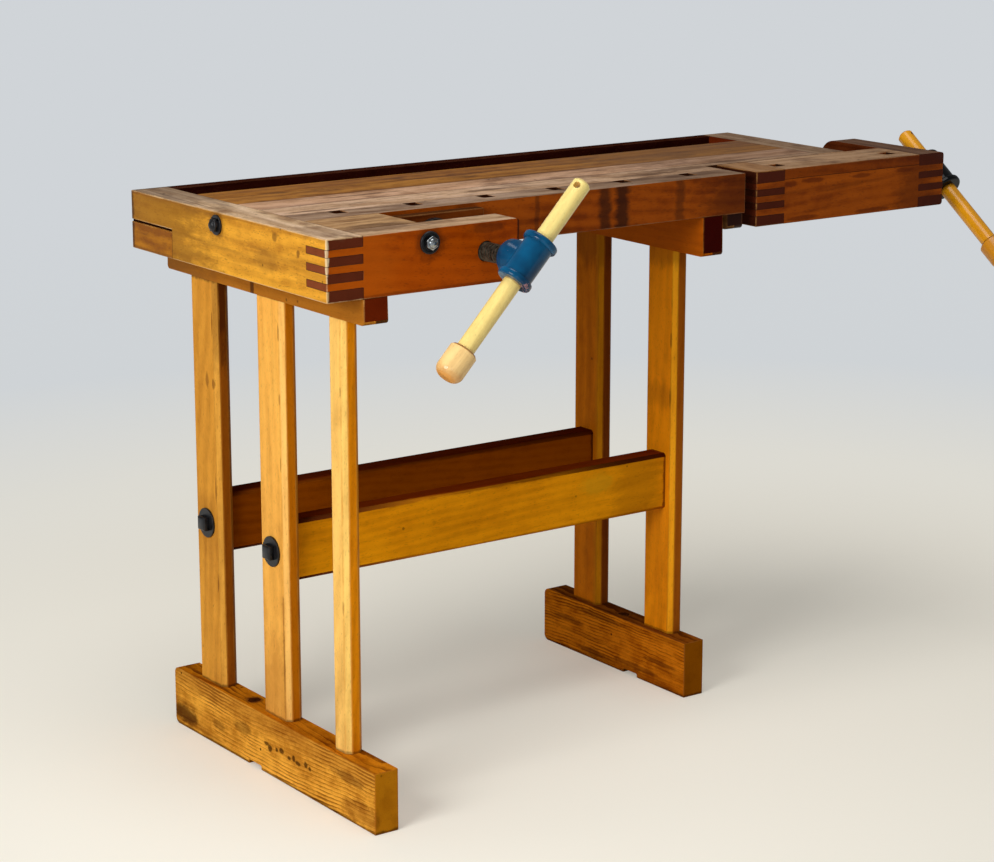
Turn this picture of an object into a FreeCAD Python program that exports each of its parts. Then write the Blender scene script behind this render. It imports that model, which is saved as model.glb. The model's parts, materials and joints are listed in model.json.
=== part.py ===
"""A woodworker's bench with a shoulder vise, a tail vise and a tool tray, as a parametric assembly."""

import FreeCAD, Part
import os
import Sketcher

# --------------------------------------------------------------------------------------------
# Driving sizes, in millimetres (angles in degrees). Everything else is worked out from these.
# Bench directions: +X runs from the shoulder vise to the tail vise, +Y to the back, +Z up.
# --------------------------------------------------------------------------------------------

SIZES = {
    # the top
    "bench_height": 820,            # floor to worktop
    "bench_depth": 532,             # front of the shoulder vise to the back board
    "slab_thickness": 60,           # front beam and laminated slab
    "end_height": 84,               # end caps, vise arm and tail vise
    "cap_thickness": 56,
    "beam_width": 52,               # the dog-hole strip along the front
    "beam_length": 776,
    "slab_length": 1010,
    "tray_edge": 441,               # from the bench front to the tray side of the slab
    "tray_floor_drop": 42,          # worktop down to the tray floor
    "tray_panel_thickness": 3,
    "tray_panel_lap": 29,           # how far the panel reaches under the slab and into the caps
    "tray_panel_inset": 2,          # panel ends set in from the caps' outer faces
    "back_board_thickness": 20,
    # dog holes
    "dog_hole_length": 20,
    "dog_hole_depth": 22,
    "dog_hole_count": 6,
    "dog_hole_pitch": 123.5,
    "first_dog_hole": 79,           # from the beam's left end to the first hole's centre
    # shoulder vise
    "arm_length": 306,
    "arm_end_rounding": 5,
    "arm_thickness": 50,
    "vise_mouth": 96,               # between the arm and the front beam
    "finger_count": 3,              # fingers of the arm, and of the tail vise's front board
    "finger_top": 14,
    "finger_gap": 10,
    "finger_between": 12,
    "front_screw_to_arm_end": 54,
    "screw_drop": 40,               # worktop down to the screw's axis
    "screw_diameter": 26,
    "screw_slack": 0.1,             # radial, in the nut
    "screw_passage_slack": 1.5,     # radial, through the wood
    "front_hub_reach": 93,          # tee centre in front of the arm
    "nut_barrel_radius": 19,
    "nut_barrel_length": 32,
    "nut_flange_radius": 27,
    "nut_flange_thickness": 6,      # let in flush with the arm's back face
    "chop_thickness": 18,
    "chop_length": 158,
    "chop_height": 79,
    "chop_drop": 5,
    "chop_reach": 72,               # the chop's left end to the screw's axis
    "chop_spacer_gap": 5,
    "jaw_gap": 0.3,                 # between closed jaw faces
    "swivel_radius": 29,
    "swivel_thickness": 9,
    "swivel_boss_radius": 21,
    "swivel_boss_length": 9,
    "pivot_radius": 9,
    "pivot_slack": 0.1,
    "pivot_end_gap": 0.4,
    "pivot_pin_radius": 2.5,
    "pivot_groove_depth": 2.5,
    # tee hubs and handles
    "tee_body_radius": 21,
    "tee_band_radius": 25,
    "tee_band_width": 10,
    "tee_run_length": 70,
    "tee_branch_length": 38,
    "tee_branch_root_radius": 14,    # the branch widens from here to its band
    "tee_branch_band_width": 11,
    "tee_band_rounding": 3.5,
    "tee_junction_fillet": 1.8,
    "tee_screw_stop": 3,            # wall left between the screw's end and the handle's bore
    "handle_diameter": 25.4,
    "handle_slack": 0.3,
    "front_handle_short_end": 132,  # tee centre to the free end
    "front_handle_long_end": 147,   # tee centre to the knob
    "tail_handle_short_end": 95,
    "tail_handle_long_end": 159,
    "front_handle_tilt": 46.7,
    "tail_handle_tilt": 36.5,
    "front_handle_roll": 32,        # the hole across it, turned about the handle
    "tail_handle_roll": 114,
    "handle_end_chamfer": 3,
    "cord_hole_diameter": 9.5,
    "cord_hole_inset": 11,
    "knob_radius": 20,
    "knob_length": 46,
    "knob_socket_depth": 30,
    "knob_neck_radius": 17,
    "knob_neck_length": 3,
    "knob_rounding": 13,
    # tail vise
    "tail_gap": 22,                 # how far the tail vise stands open
    "tail_end_clear": 70,           # right cap to the end block
    "tail_width": 95,
    "tail_jaw_length": 56,
    "tail_end_length": 53,
    "tail_end_width": 230,
    "tail_end_rounding": 30,
    "tail_corner_rounding": 5,
    "tail_front_thickness": 57,
    "tail_top_thickness": 16,
    "tail_finger_top": 18,
    "tail_finger": 10,
    "tail_running_gap": 2,
    "tail_dog_from_jaw": 73,        # jaw face to the first hole's centre
    "tail_dog_from_block": 33,      # end block back to the second hole's centre
    "tail_screw_inset": 19,         # tail vise's back face to the screw's axis
    "tail_screw_drop": 50,
    "tail_hub_reach": 60,           # tee centre beyond the end block
    "tail_screw_clear": 26,         # jaw block to the screw's inner end
    "garter_radius": 27,
    "garter_thickness": 7,
    "garter_groove_radius": 9.5,
    "garter_slack": 0.4,
    "tail_nut_radius": 17,
    "tail_nut_length": 52,
    "tail_nut_plate": 7,
    "tail_nut_plate_height": 52,
    "fixed_jaw_length": 30,
    "fixed_jaw_setback": 6,
    "runner_height": 12,
    "runner_width": 52,
    "runner_reach": 12,             # how far it stands out from the slab's notch
    "runner_slack": 0.5,
    "runner_clear": 4,
    "guide_bar_width": 40,
    "guide_bar_height": 22,
    "guide_bar_drop": 52,           # worktop down to the bar's top
    "guide_groove_run_on": 8,
    "guide_bar_behind": 77,         # tail vise's back face to the bar's centre line
    "guide_bar_clear": 20,          # jaw block to the bar's inner end
    "guide_bar_tenon": 30,
    "guide_bar_slack": 0.5,
    # trestles
    "bearer_width": 38,
    "bearer_height": 60,
    "bearer_rounding": 6,
    "right_bearer_inset": 3,        # inner face of the right bearer to the right legs' inner faces
    "foot_width": 38,
    "foot_height": 89,
    "foot_rounding": 10,
    "foot_chip_length": 34,
    "foot_chip_height": 6,
    "foot_chip_depth": 14,
    "left_foot_front": -26,
    "right_foot_front": 166,
    "left_leg_inset": 1,            # outer face of the left bearer to the left legs' outer faces
    "foot_to_leg": 9,               # outer face of the foot to the legs' outer faces
    "left_chip_place": 339,         # foot front to the chip
    "right_chip_place": 153,
    "leg_thickness": 27,
    "leg_width": 71,
    "thin_leg_width": 40,
    "leg_chamfer": 7,
    "thin_leg_front": 55,
    "front_leg_front": 214,
    "back_leg_front": 399,
    "right_leg_inset": 51,          # front beam's end to the right legs' outer faces
    "tenon_thickness": 12,
    "tenon_shoulder": 10,
    "tenon_depth": 40,
    "tenon_slack": 0.1,
    "rail_height": 89,
    "rail_thickness": 38,
    "rail_bottom": 291,
    "rail_rounding": 6,
    "top_dowel_diameter": 16,
    "top_dowel_length": 44,
    "top_dowel_clear": 27,          # tray rebate to the back dowels
    "top_dowel_pitch": 85,
    # bolts
    "bolt_diameter": 10,
    "bolt_hole_slack": 0.5,
    "bolt_washer_radius": 22,
    "washer_thickness": 3,
    "bolt_head_width": 20,
    "bolt_head_height": 9,
    "cross_nut_radius": 9,
    "cross_nut_slack": 0.2,
    "cross_nut_reach": 18,
    "cap_bolt_back": 283,
    "cap_bolt_drop": 18,
    "cap_washer_radius": 14,
    "cap_bolt_reach": 64,           # past the cap into the slab
    "arm_bolt_inset": 15,           # spacer's end to the bolt
    "arm_bolt_drop": 19,
    "arm_washer_radius": 15.5,
    "arm_bolt_reach": 60,           # past the beam into the slab
    "rail_bolt_reach": 74,          # past the leg into the rail
    "bolt_nut_past": 10,            # how far the cross nut's centre is from the bolt's end
}

OUT_FOLDER = "parts"
X, Y, Z = FreeCAD.Vector(1, 0, 0), FreeCAD.Vector(0, 1, 0), FreeCAD.Vector(0, 0, 1)

doc = FreeCAD.newDocument("WorkBench")
sheet = doc.addObject("Spreadsheet::Sheet", "Sizes")


class Length:
    """A number that keeps its formula over the sheet, so that it can be bound to a property."""

    def __init__(self, value, text):
        self.value = float(value)
        self.text = text

    def __add__(self, other):
        other = length(other)
        return Length(self.value + other.value, f"({self.text} + {other.text})")

    def __sub__(self, other):
        other = length(other)
        return Length(self.value - other.value, f"({self.text} - {other.text})")

    def __mul__(self, factor):
        factor = length(factor)
        return Length(self.value * factor.value, f"({self.text} * {factor.text})")

    def __truediv__(self, number):
        return Length(self.value / number, f"({self.text} / {number})")

    def __neg__(self):
        return Length(-self.value, f"(0 - {self.text})")


def length(number):
    return number if isinstance(number, Length) else Length(number, str(number))


class Sizes:
    """The sheet's cells by name."""


size = Sizes()
for row, (alias, number) in enumerate(SIZES.items(), 1):
    sheet.set(f"A{row}", str(number))
    sheet.setAlias(f"A{row}", alias)
    setattr(size, alias, Length(number, f"Sizes.{alias}"))
doc.recompute()
zero = length(0)

# --------------------------------------------------------------------------------------------
# Places that several pieces share, measured from the left cap's outer face, the vise arm's
# front face and the floor.
# --------------------------------------------------------------------------------------------

worktop = size.bench_height
slab_bottom = worktop - size.slab_thickness
end_bottom = worktop - size.end_height
cap_inside = size.cap_thickness
arm_back = size.arm_thickness
beam_front = arm_back + size.vise_mouth
beam_back = beam_front + size.beam_width
beam_end = cap_inside + size.beam_length
slab_end = cap_inside + size.slab_length
right_cap_end = slab_end + size.cap_thickness
tail_back = beam_front + size.tail_width
notch_back = tail_back + size.tail_running_gap
tray_front = size.tray_edge - size.tray_panel_lap
tray_back = size.bench_depth - size.back_board_thickness
tray_floor = worktop - size.tray_floor_drop
panel_bottom = tray_floor - size.tray_panel_thickness

dowel_back_y = tray_front - size.top_dowel_clear
dowel_front_y = dowel_back_y - size.top_dowel_pitch

screw_radius = size.screw_diameter / 2
passage_radius = screw_radius + size.screw_passage_slack
nut_bore_radius = screw_radius + size.screw_slack
handle_radius = size.handle_diameter / 2
tee_bore_radius = handle_radius + size.handle_slack
screw_start = tee_bore_radius + size.tee_screw_stop
bolt_radius = size.bolt_diameter / 2
bolt_hole_radius = bolt_radius + size.bolt_hole_slack

front_screw_x = size.arm_length - size.front_screw_to_arm_end
front_screw_height = worktop - size.screw_drop
front_hub_y = -size.front_hub_reach
chop_back = beam_front - size.jaw_gap
chop_front = chop_back - size.chop_thickness
swivel_front = chop_front - size.swivel_thickness
boss_front = swivel_front - size.swivel_boss_length
pivot_pin_y = (boss_front + swivel_front) / 2
chop_start = front_screw_x - size.chop_reach
spacer_end = chop_start - size.chop_spacer_gap
arm_bolt_x = spacer_end - size.arm_bolt_inset

tail_start = beam_end + size.tail_gap
tail_jaw_end = tail_start + size.tail_jaw_length
end_block_start = right_cap_end + size.tail_end_clear
tail_end = end_block_start + size.tail_end_length
tail_front_back = beam_front + size.tail_front_thickness
tail_top_bottom = worktop - size.tail_top_thickness
tail_screw_y = tail_back - size.tail_screw_inset
tail_screw_height = worktop - size.tail_screw_drop
tail_hub_x = tail_end + size.tail_hub_reach
guide_y = tail_back + size.guide_bar_behind
guide_top = worktop - size.guide_bar_drop
guide_start = tail_jaw_end + size.guide_bar_clear

cross_nut_hole_radius = size.cross_nut_radius + size.cross_nut_slack
top_nut_top = worktop - size.cap_bolt_drop + size.cross_nut_radius
top_dowel_radius = size.top_dowel_diameter / 2
top_dowel_top = slab_bottom + size.top_dowel_length / 2
top_dowel_bottom = slab_bottom - size.top_dowel_length / 2

left_bearer_x = cap_inside
left_leg_x = left_bearer_x + size.left_leg_inset
right_leg_x = beam_end - size.right_leg_inset - size.leg_thickness
right_bearer_x = right_leg_x - size.right_bearer_inset
bearer_bottom = slab_bottom - size.bearer_height

# The model's own origin lies on the floor under the middle of the whole bench.
cap_bolt_proud = size.washer_thickness + size.bolt_head_height
middle_x = (tail_hub_x + size.tee_band_radius - cap_bolt_proud) / 2
middle_y = (size.bench_depth + front_hub_y - size.tee_band_radius) / 2
ORIGIN = (middle_x, middle_y, zero)


# --------------------------------------------------------------------------------------------
# Modelling helpers
# --------------------------------------------------------------------------------------------

NEAR = 1e-3         # millimetres within which two places are the same
TURNS = {"+X": "rotationy(90)", "-X": "rotationy(-90)", "+Y": "rotationx(-90)", "-Y": "rotationx(90)",
         "+Z": "rotationz(0)"}
BACKWARDS = {"+X": "-X", "-X": "+X", "+Y": "-Y", "-Y": "+Y"}
PLANES = {"X": "YZ_Plane", "Y": "XZ_Plane", "Z": "XY_Plane"}
SKETCH_AXES = {"X": (1, 2), "Y": (0, 2), "Z": (0, 1)}
pieces = []


def place(item, at, turn=TURNS["+Z"], then=""):
    """Put an object at a bench place, with a turn and any step after it written as formulas."""
    base = "; ".join((value - shift).text for value, shift in zip(at, ORIGIN))
    item.setExpression("Placement", f"placement(vector({base}); {turn}){then}")


class Piece:
    """One solid body whose own corner, or axis, stands at a place of the bench."""

    def __init__(self, name, at, turn=TURNS["+Z"]):
        self.at = [length(value) for value in at]
        self.body = doc.addObject("PartDesign::Body", name)
        self.body.Label = name
        place(self.body, self.at, turn)
        pieces.append(self.body)

    def sketch(self, axis, level=zero):
        """An empty sketch square to an axis, at a level along it."""
        sketch = self.body.newObject("Sketcher::SketchObject", "Sketch")
        role = PLANES[axis]
        plane = next(item for item in self.body.Origin.OriginFeatures if item.Role == role)
        sketch.AttachmentSupport = (plane, [""])
        sketch.MapMode = "FlatFace"
        offset = -level if axis == "Y" else level
        sketch.setExpression(".AttachmentOffset.Base.z", offset.text)
        return sketch

    def feature(self, kind, sketch):
        item = self.body.newObject(f"PartDesign::{kind}", kind)
        item.Profile = sketch
        sketch.Visibility = False
        return item

    def pad(self, sketch, axis, depth):
        pad = self.feature("Pad", sketch)
        pad.Length = depth.value
        pad.setExpression("Length", depth.text)
        pad.Reversed = axis == "Y"
        return pad

    def pocket(self, sketch, axis, depth):
        pocket = self.feature("Pocket", sketch)
        pocket.Length = depth.value
        pocket.setExpression("Length", depth.text)
        pocket.Reversed = axis != "Y"
        return pocket

    def local(self, corner):
        return [value - base for value, base in zip(corner, self.at)]

    def block(self, low, high, axis, make):
        """A rectangle between two bench corners, padded or pocketed along an axis."""
        low, high = self.local(low), self.local(high)
        across, up = SKETCH_AXES[axis]
        along = "XYZ".index(axis)
        sketch = self.sketch(axis, low[along])
        corners = [(low[across], low[up]), (high[across], low[up]),
                   (high[across], high[up]), (low[across], high[up])]
        polygon(sketch, corners)
        return make(sketch, axis, high[along] - low[along])

    def add(self, low, high, axis="Z"):
        return self.block(low, high, axis, self.pad)

    def cut(self, low, high, axis="Z"):
        return self.block(low, high, axis, self.pocket)

    def bore(self, centre, radius, end, axis):
        """A round hole from a centre, given in bench places, to an end along the axis."""
        along = "XYZ".index(axis)
        across, up = SKETCH_AXES[axis]
        start = self.local(centre)
        sketch = self.sketch(axis, start[along])
        circle(sketch, start[across], start[up], radius)
        return self.pocket(sketch, axis, end - centre[along])

    def dress(self, kind, amount, chosen):
        """Fillet or chamfer the edges that a test picks out."""
        doc.recompute()
        base = self.body.Tip
        names = [f"Edge{n}" for n, edge in enumerate(base.Shape.Edges, 1) if chosen(edge)]
        item = self.body.newObject(f"PartDesign::{kind}", kind)
        item.Base = (base, names)
        prop = "Radius" if kind == "Fillet" else "Size"
        setattr(item, prop, amount.value)
        item.setExpression(prop, amount.text)
        return item


def fix(sketch, kind, *ends, amount):
    """A dimension held by a formula."""
    index = sketch.addConstraint(Sketcher.Constraint(kind, *ends, amount.value))
    sketch.setExpression(f"Constraints[{index}]", amount.text)


def polygon(sketch, corners):
    """A closed outline whose corners are each placed from the sketch's origin."""
    points = [FreeCAD.Vector(across.value, up.value, 0) for across, up in corners]
    count = len(points)
    for n in range(count):
        sketch.addGeometry(Part.LineSegment(points[n], points[(n + 1) % count]))
    for n in range(count):
        sketch.addConstraint(Sketcher.Constraint("Coincident", n, 2, (n + 1) % count, 1))
    for n, (across, up) in enumerate(corners):
        fix(sketch, "DistanceX", -1, 1, n, 1, amount=across)
        fix(sketch, "DistanceY", -1, 1, n, 1, amount=up)


def circle(sketch, across, up, radius):
    centre = FreeCAD.Vector(across.value, up.value, 0)
    n = sketch.addGeometry(Part.Circle(centre, FreeCAD.Vector(0, 0, 1), radius.value))
    fix(sketch, "Radius", n, amount=radius)
    fix(sketch, "DistanceX", -1, 1, n, 3, amount=across)
    fix(sketch, "DistanceY", -1, 1, n, 3, amount=up)


def board(name, low, high, axis="Z"):
    """A plain rectangular piece between two bench corners."""
    low, high = [length(value) for value in low], [length(value) for value in high]
    piece = Piece(name, low)
    piece.add(low, high, axis)
    return piece


def turned(piece, outline, axis="V_Axis"):
    """Revolve a half outline of (radius, along) points about the piece's own axis."""
    sketch = piece.sketch("Y")
    if axis == "V_Axis":
        polygon(sketch, [(length(radius), length(along)) for radius, along in outline])
    else:
        polygon(sketch, [(length(along), length(radius)) for radius, along in outline])
    revolution = piece.feature("Revolution", sketch)
    revolution.ReferenceAxis = (sketch, [axis])
    revolution.Angle = 360
    return revolution


def straight(edge, direction):
    """Whether an edge is a straight line along a direction."""
    if not isinstance(edge.Curve, Part.Line):
        return False
    return abs(abs(edge.Curve.Direction.dot(direction)) - 1) < NEAR


def at_place(edge, axis, value):
    """Whether the middle of an edge lies at a place along an axis."""
    return abs(edge.CenterOfMass["XYZ".index(axis)] - value.value) < NEAR


def rim(edge, radius, along):
    """Whether an edge is a circle of a radius about the turning axis, at a place along it."""
    if not isinstance(edge.Curve, Part.Circle):
        return False
    off_axis = edge.Curve.Center - FreeCAD.Vector(0, 0, along.value)
    return off_axis.Length < NEAR and abs(edge.Curve.Radius - radius.value) < NEAR


# --------------------------------------------------------------------------------------------
# The top: caps, beam, slab and tray
# --------------------------------------------------------------------------------------------

def arm_finger_bands():
    """The bands, from the top down, where the arm's fingers pass through the left cap."""
    step = size.finger_gap + size.finger_between
    for n in range(int(size.finger_count.value)):
        top = worktop - size.finger_top - step * n
        yield top - size.finger_gap, top


def cap_finger_bands():
    """The bands, from the top down, that the left cap's fingers fill."""
    top = worktop
    for low, high in arm_finger_bands():
        yield high, top
        top = low
    yield end_bottom, top


def cap_bolt_hole(piece, start, end):
    height = worktop - size.cap_bolt_drop
    piece.bore((start, size.cap_bolt_back, height), bolt_hole_radius, end, "X")


def make_end_cap(name, start, front):
    """An end cap, cut away underneath at the back for the tray panel and its filler."""
    end = start + size.cap_thickness
    cap = board(name, (start, front, end_bottom), (end, size.bench_depth, worktop))
    cap.cut((start, tray_front, end_bottom), (end, size.bench_depth, tray_floor), "X")
    cap_bolt_hole(cap, start, end)
    return cap


def make_cap_filler(name, start):
    end = start + size.cap_thickness
    return board(name, (start, tray_front, end_bottom), (end, size.bench_depth, panel_bottom))


def make_left_end_cap():
    cap = make_end_cap("left_end_cap", zero, zero)
    for low, high in arm_finger_bands():
        cap.cut((zero, zero, low), (cap_inside, arm_back, high), "X")


def make_right_end_cap():
    cap = make_end_cap("right_end_cap", slab_end, notch_back)
    slack = size.guide_bar_slack
    half = size.guide_bar_width / 2 + slack
    low = guide_top - size.guide_bar_height - slack
    cap.cut((slab_end, guide_y - half, low), (right_cap_end, guide_y + half, guide_top + slack), "X")


def make_vise_arm():
    """The arm, finger-jointed to the left cap, with a seat for the screw's nut in its back."""
    arm = board("vise_arm", (zero, zero, end_bottom), (size.arm_length, arm_back, worktop))
    for low, high in cap_finger_bands():
        arm.cut((zero, zero, low), (cap_inside, arm_back, high), "Y")
    centre = (front_screw_x, zero, front_screw_height)
    arm.bore(centre, passage_radius, arm_back, "Y")
    for radius, depth in ((size.nut_barrel_radius, size.nut_barrel_length + size.nut_flange_thickness),
                          (size.nut_flange_radius, size.nut_flange_thickness)):
        arm.bore((centre[0], arm_back - depth, centre[2]), radius, arm_back, "Y")
    arm_bolt_hole(arm, zero, arm_back)
    end = size.arm_length
    arm.dress("Fillet", size.arm_end_rounding,
              lambda edge: at_place(edge, "X", end) and straight(edge, Y))


def arm_bolt_hole(piece, start, end):
    centre = (arm_bolt_x, start, worktop - size.arm_bolt_drop)
    piece.bore(centre, bolt_hole_radius, end, "Y")


def make_arm_spacer():
    spacer = board("arm_spacer", (cap_inside, arm_back, slab_bottom), (spacer_end, beam_front, worktop))
    arm_bolt_hole(spacer, arm_back, beam_front)


def make_front_beam():
    """The front beam, with a row of dog holes notched into its back face."""
    beam = board("front_beam", (cap_inside, beam_front, slab_bottom), (beam_end, beam_back, worktop))
    arm_bolt_hole(beam, beam_front, beam_back)
    first = cap_inside + size.first_dog_hole
    half = size.dog_hole_length / 2
    low = (first - half, beam_back - size.dog_hole_depth, slab_bottom)
    notch = beam.cut(low, (first + half, beam_back, worktop))
    row_of_holes = beam.body.newObject("PartDesign::LinearPattern", "DogHoles")
    row_of_holes.Originals = [notch]
    row_of_holes.Direction = (notch.Profile[0], ["H_Axis"])
    row_of_holes.Mode = "Spacing"
    row_of_holes.Offset = size.dog_hole_pitch.value
    row_of_holes.setExpression("Offset", size.dog_hole_pitch.text)
    row_of_holes.Occurrences = int(size.dog_hole_count.value)
    row_of_holes.setExpression("Occurrences", size.dog_hole_count.text)
    beam.body.Tip = row_of_holes


def make_main_slab():
    """The slab, notched for the tail vise and rebated underneath for the tray panel."""
    slab = board("main_slab", (cap_inside, beam_back, slab_bottom), (slab_end, size.tray_edge, worktop))
    slab.cut((beam_end, beam_back, slab_bottom), (slab_end, notch_back, worktop))
    slab.cut((cap_inside, tray_front, slab_bottom), (slab_end, size.tray_edge, tray_floor), "X")
    groove_start = guide_start - size.tail_gap - size.guide_groove_run_on
    half = size.guide_bar_width / 2 + size.guide_bar_slack
    slab.cut((groove_start, guide_y - half, slab_bottom),
             (slab_end, guide_y + half, guide_top + size.guide_bar_slack), "X")
    reach = size.cap_bolt_reach
    cap_bolt_hole(slab, cap_inside, cap_inside + reach)
    cap_bolt_hole(slab, slab_end - reach, slab_end)
    arm_bolt_hole(slab, beam_back, beam_back + size.arm_bolt_reach)
    for centre in top_nut_centres():
        slab.bore((*centre, slab_bottom), cross_nut_hole_radius, top_nut_top, "Z")
    for bearer_x in (left_bearer_x, right_bearer_x):
        for x, y in top_dowel_centres(bearer_x):
            slab.bore((x, y, slab_bottom), top_dowel_radius, top_dowel_top, "Z")


def make_tray():
    """The thin tray panel, let into both caps, and the board that closes the tray's back."""
    inset = size.tray_panel_inset
    board("tray_panel", (inset, tray_front, panel_bottom),
          (right_cap_end - inset, size.bench_depth, tray_floor))
    board("tray_back_board", (cap_inside, tray_back, tray_floor), (slab_end, size.bench_depth, worktop))


def make_fixed_jaw():
    """The block that makes the beam's end as deep as the tail vise."""
    jaw = board("fixed_jaw_block",
                (beam_end - size.fixed_jaw_length, beam_front + size.fixed_jaw_setback, end_bottom),
                (beam_end, notch_back, slab_bottom))
    jaw.dress("Fillet", size.bearer_rounding,
              lambda edge: straight(edge, X) and at_place(edge, "Z", zero) and at_place(edge, "Y", zero))


# --------------------------------------------------------------------------------------------
# Cross nuts, dowels and bolts
# --------------------------------------------------------------------------------------------

def top_nut_centres():
    """Where the cross nuts of the two cap bolts and of the arm's bolt stand."""
    back = size.bolt_nut_past
    reach = size.cap_bolt_reach - back
    yield cap_inside + reach, size.cap_bolt_back
    yield slab_end - reach, size.cap_bolt_back
    yield arm_bolt_x, beam_back + size.arm_bolt_reach - back


def top_dowel_centres(bearer_x):
    for y in (dowel_front_y, dowel_back_y):
        yield bearer_x + size.bearer_width / 2, y


def group(name, solids):
    """Several separate solids that are one item on the parts list."""
    item = doc.addObject("Part::Compound", name)
    item.Label = name
    item.Links = solids
    pieces.append(item)


def rod(radius, reach, at, turn=TURNS["+Z"]):
    """A plain cylinder, standing on its start and turned to its direction."""
    cylinder = doc.addObject("Part::Cylinder", "Rod")
    cylinder.setExpression("Radius", radius.text)
    cylinder.setExpression("Height", reach.text)
    place(cylinder, at, turn)
    return cylinder


def ring(radius, hole, reach, at, turn):
    item = doc.addObject("Part::Cut", "Ring")
    item.Base = rod(radius, reach, at, turn)
    item.Tool = rod(hole, reach, at, turn)
    return item


def square_head(at, turn):
    """A square bolt head, standing on a washer."""
    box = doc.addObject("Part::Box", "Head")
    for side in ("Length", "Width"):
        box.setExpression(side, size.bolt_head_width.text)
    box.setExpression("Height", size.bolt_head_height.text)
    half = f"{size.bolt_head_width.text} / 2"
    centring = f"placement(vector(0 - {half}; 0 - {half}; 0); rotationz(0))"
    place(box, at, turn, f" * {centring}")
    return box


def moved(at, way, distance):
    """A place moved along one of the bench's directions."""
    axis = "XYZ".index(way[1])
    step = distance if way[0] == "+" else -distance
    return [value + step if n == axis else value for n, value in enumerate(at)]


def bolt(face, way, reach):
    """A square-headed bolt through a washer on a face, running a way into the wood."""
    seat = moved(face, BACKWARDS[way], size.washer_thickness)
    fused = doc.addObject("Part::MultiFuse", "Bolt")
    shank = rod(bolt_radius, reach + size.washer_thickness, seat, TURNS[way])
    fused.Shapes = [shank, square_head(seat, TURNS[BACKWARDS[way]])]
    return fused


def washer(face, way, radius):
    return ring(radius, bolt_hole_radius, size.washer_thickness, face, TURNS[BACKWARDS[way]])


def cross_nut(at, low, high, way):
    """A round steel nut that stands across a bolt and takes its thread."""
    item = doc.addObject("Part::Cut", "CrossNut")
    item.Base = rod(size.cross_nut_radius, high - low, (at[0], at[1], low))
    start = moved(at, BACKWARDS[way], size.cross_nut_radius * 2)
    item.Tool = rod(bolt_radius, size.cross_nut_radius * 4, start, TURNS[way])
    return item


def make_top_bolts():
    cap_height = worktop - size.cap_bolt_drop
    cap_reach = size.cap_thickness + size.cap_bolt_reach
    cap_faces = (((zero, size.cap_bolt_back, cap_height), "+X"),
                 ((right_cap_end, size.cap_bolt_back, cap_height), "-X"))
    group("cap_bolts", [bolt(face, way, cap_reach) for face, way in cap_faces])
    group("cap_bolt_washers", [washer(face, way, size.cap_washer_radius) for face, way in cap_faces])
    arm_height = worktop - size.arm_bolt_drop
    arm_face = (arm_bolt_x, zero, arm_height)
    group("arm_tie_bolt", [bolt(arm_face, "+Y", beam_back + size.arm_bolt_reach)])
    group("arm_tie_bolt_washer", [washer(arm_face, "+Y", size.arm_washer_radius)])
    ways = ("+X", "-X", "+Y")
    heights = (cap_height, cap_height, arm_height)
    nuts = []
    for (x, y), height, way in zip(top_nut_centres(), heights, ways):
        nuts.append(cross_nut((x, y, height), height - size.cross_nut_reach, top_nut_top, way))
    group("top_cross_nuts", nuts)


def make_top_dowels():
    group("top_dowels", [rod(top_dowel_radius, size.top_dowel_length, (x, y, top_dowel_bottom))
                         for bearer_x in (left_bearer_x, right_bearer_x)
                         for x, y in top_dowel_centres(bearer_x)])


# --------------------------------------------------------------------------------------------
# Trestles
# --------------------------------------------------------------------------------------------

LEFT_LEGS = (("left_front_leg", size.thin_leg_front, size.thin_leg_width),
             ("left_middle_leg", size.front_leg_front, size.leg_width),
             ("left_back_leg", size.back_leg_front, size.leg_width))
RIGHT_LEGS = (("right_front_leg", size.front_leg_front, size.leg_width),
              ("right_back_leg", size.back_leg_front, size.leg_width))
rail_middle = size.rail_bottom + size.rail_height / 2


def tenon(leg_x, front, width, slack=zero):
    """The tenon's low and high corners in plan, with an optional slack all round."""
    start = leg_x + (size.leg_thickness - size.tenon_thickness) / 2
    return ((start - slack, front + size.tenon_shoulder - slack),
            (start + size.tenon_thickness + slack, front + width - size.tenon_shoulder + slack))


def cut_mortises(piece, legs, leg_x, low, high):
    for _, front, width in legs:
        corner, far = tenon(leg_x, front, width, size.tenon_slack)
        piece.cut((*corner, low), (*far, high))


def make_leg(name, leg_x, front, width, bolted):
    """A leg with chamfered corners, tenoned into the foot below and the bearer above."""
    high = (leg_x + size.leg_thickness, front + width, bearer_bottom)
    leg = board(name, (leg_x, front, size.foot_height), high)
    leg.dress("Chamfer", size.leg_chamfer, lambda edge: straight(edge, Z))
    corner, far = tenon(leg_x, front, width)
    leg.add((*corner, size.foot_height - size.tenon_depth), (*far, size.foot_height))
    leg.add((*corner, bearer_bottom), (*far, bearer_bottom + size.tenon_depth))
    if bolted:
        centre = (leg_x, front + width / 2, rail_middle)
        leg.bore(centre, bolt_hole_radius, leg_x + size.leg_thickness, "X")


def make_foot(name, leg_x, front, chip_place, legs):
    """A foot on edge, mortised for the legs, its top back corner eased and its sole chipped."""
    start = leg_x - size.foot_to_leg
    back = size.bench_depth
    foot = board(name, (start, front, zero), (start + size.foot_width, back, size.foot_height), "X")
    foot_length = back - front
    foot.dress("Fillet", size.foot_rounding,
               lambda edge: straight(edge, X) and at_place(edge, "Y", foot_length))
    socket = size.foot_height - size.tenon_depth - size.tenon_slack
    cut_mortises(foot, legs, leg_x, socket, size.foot_height)
    chip = front + chip_place
    foot.cut((start, chip - size.foot_chip_length, zero),
             (start + size.foot_chip_depth, chip, size.foot_chip_height), "X")


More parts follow.
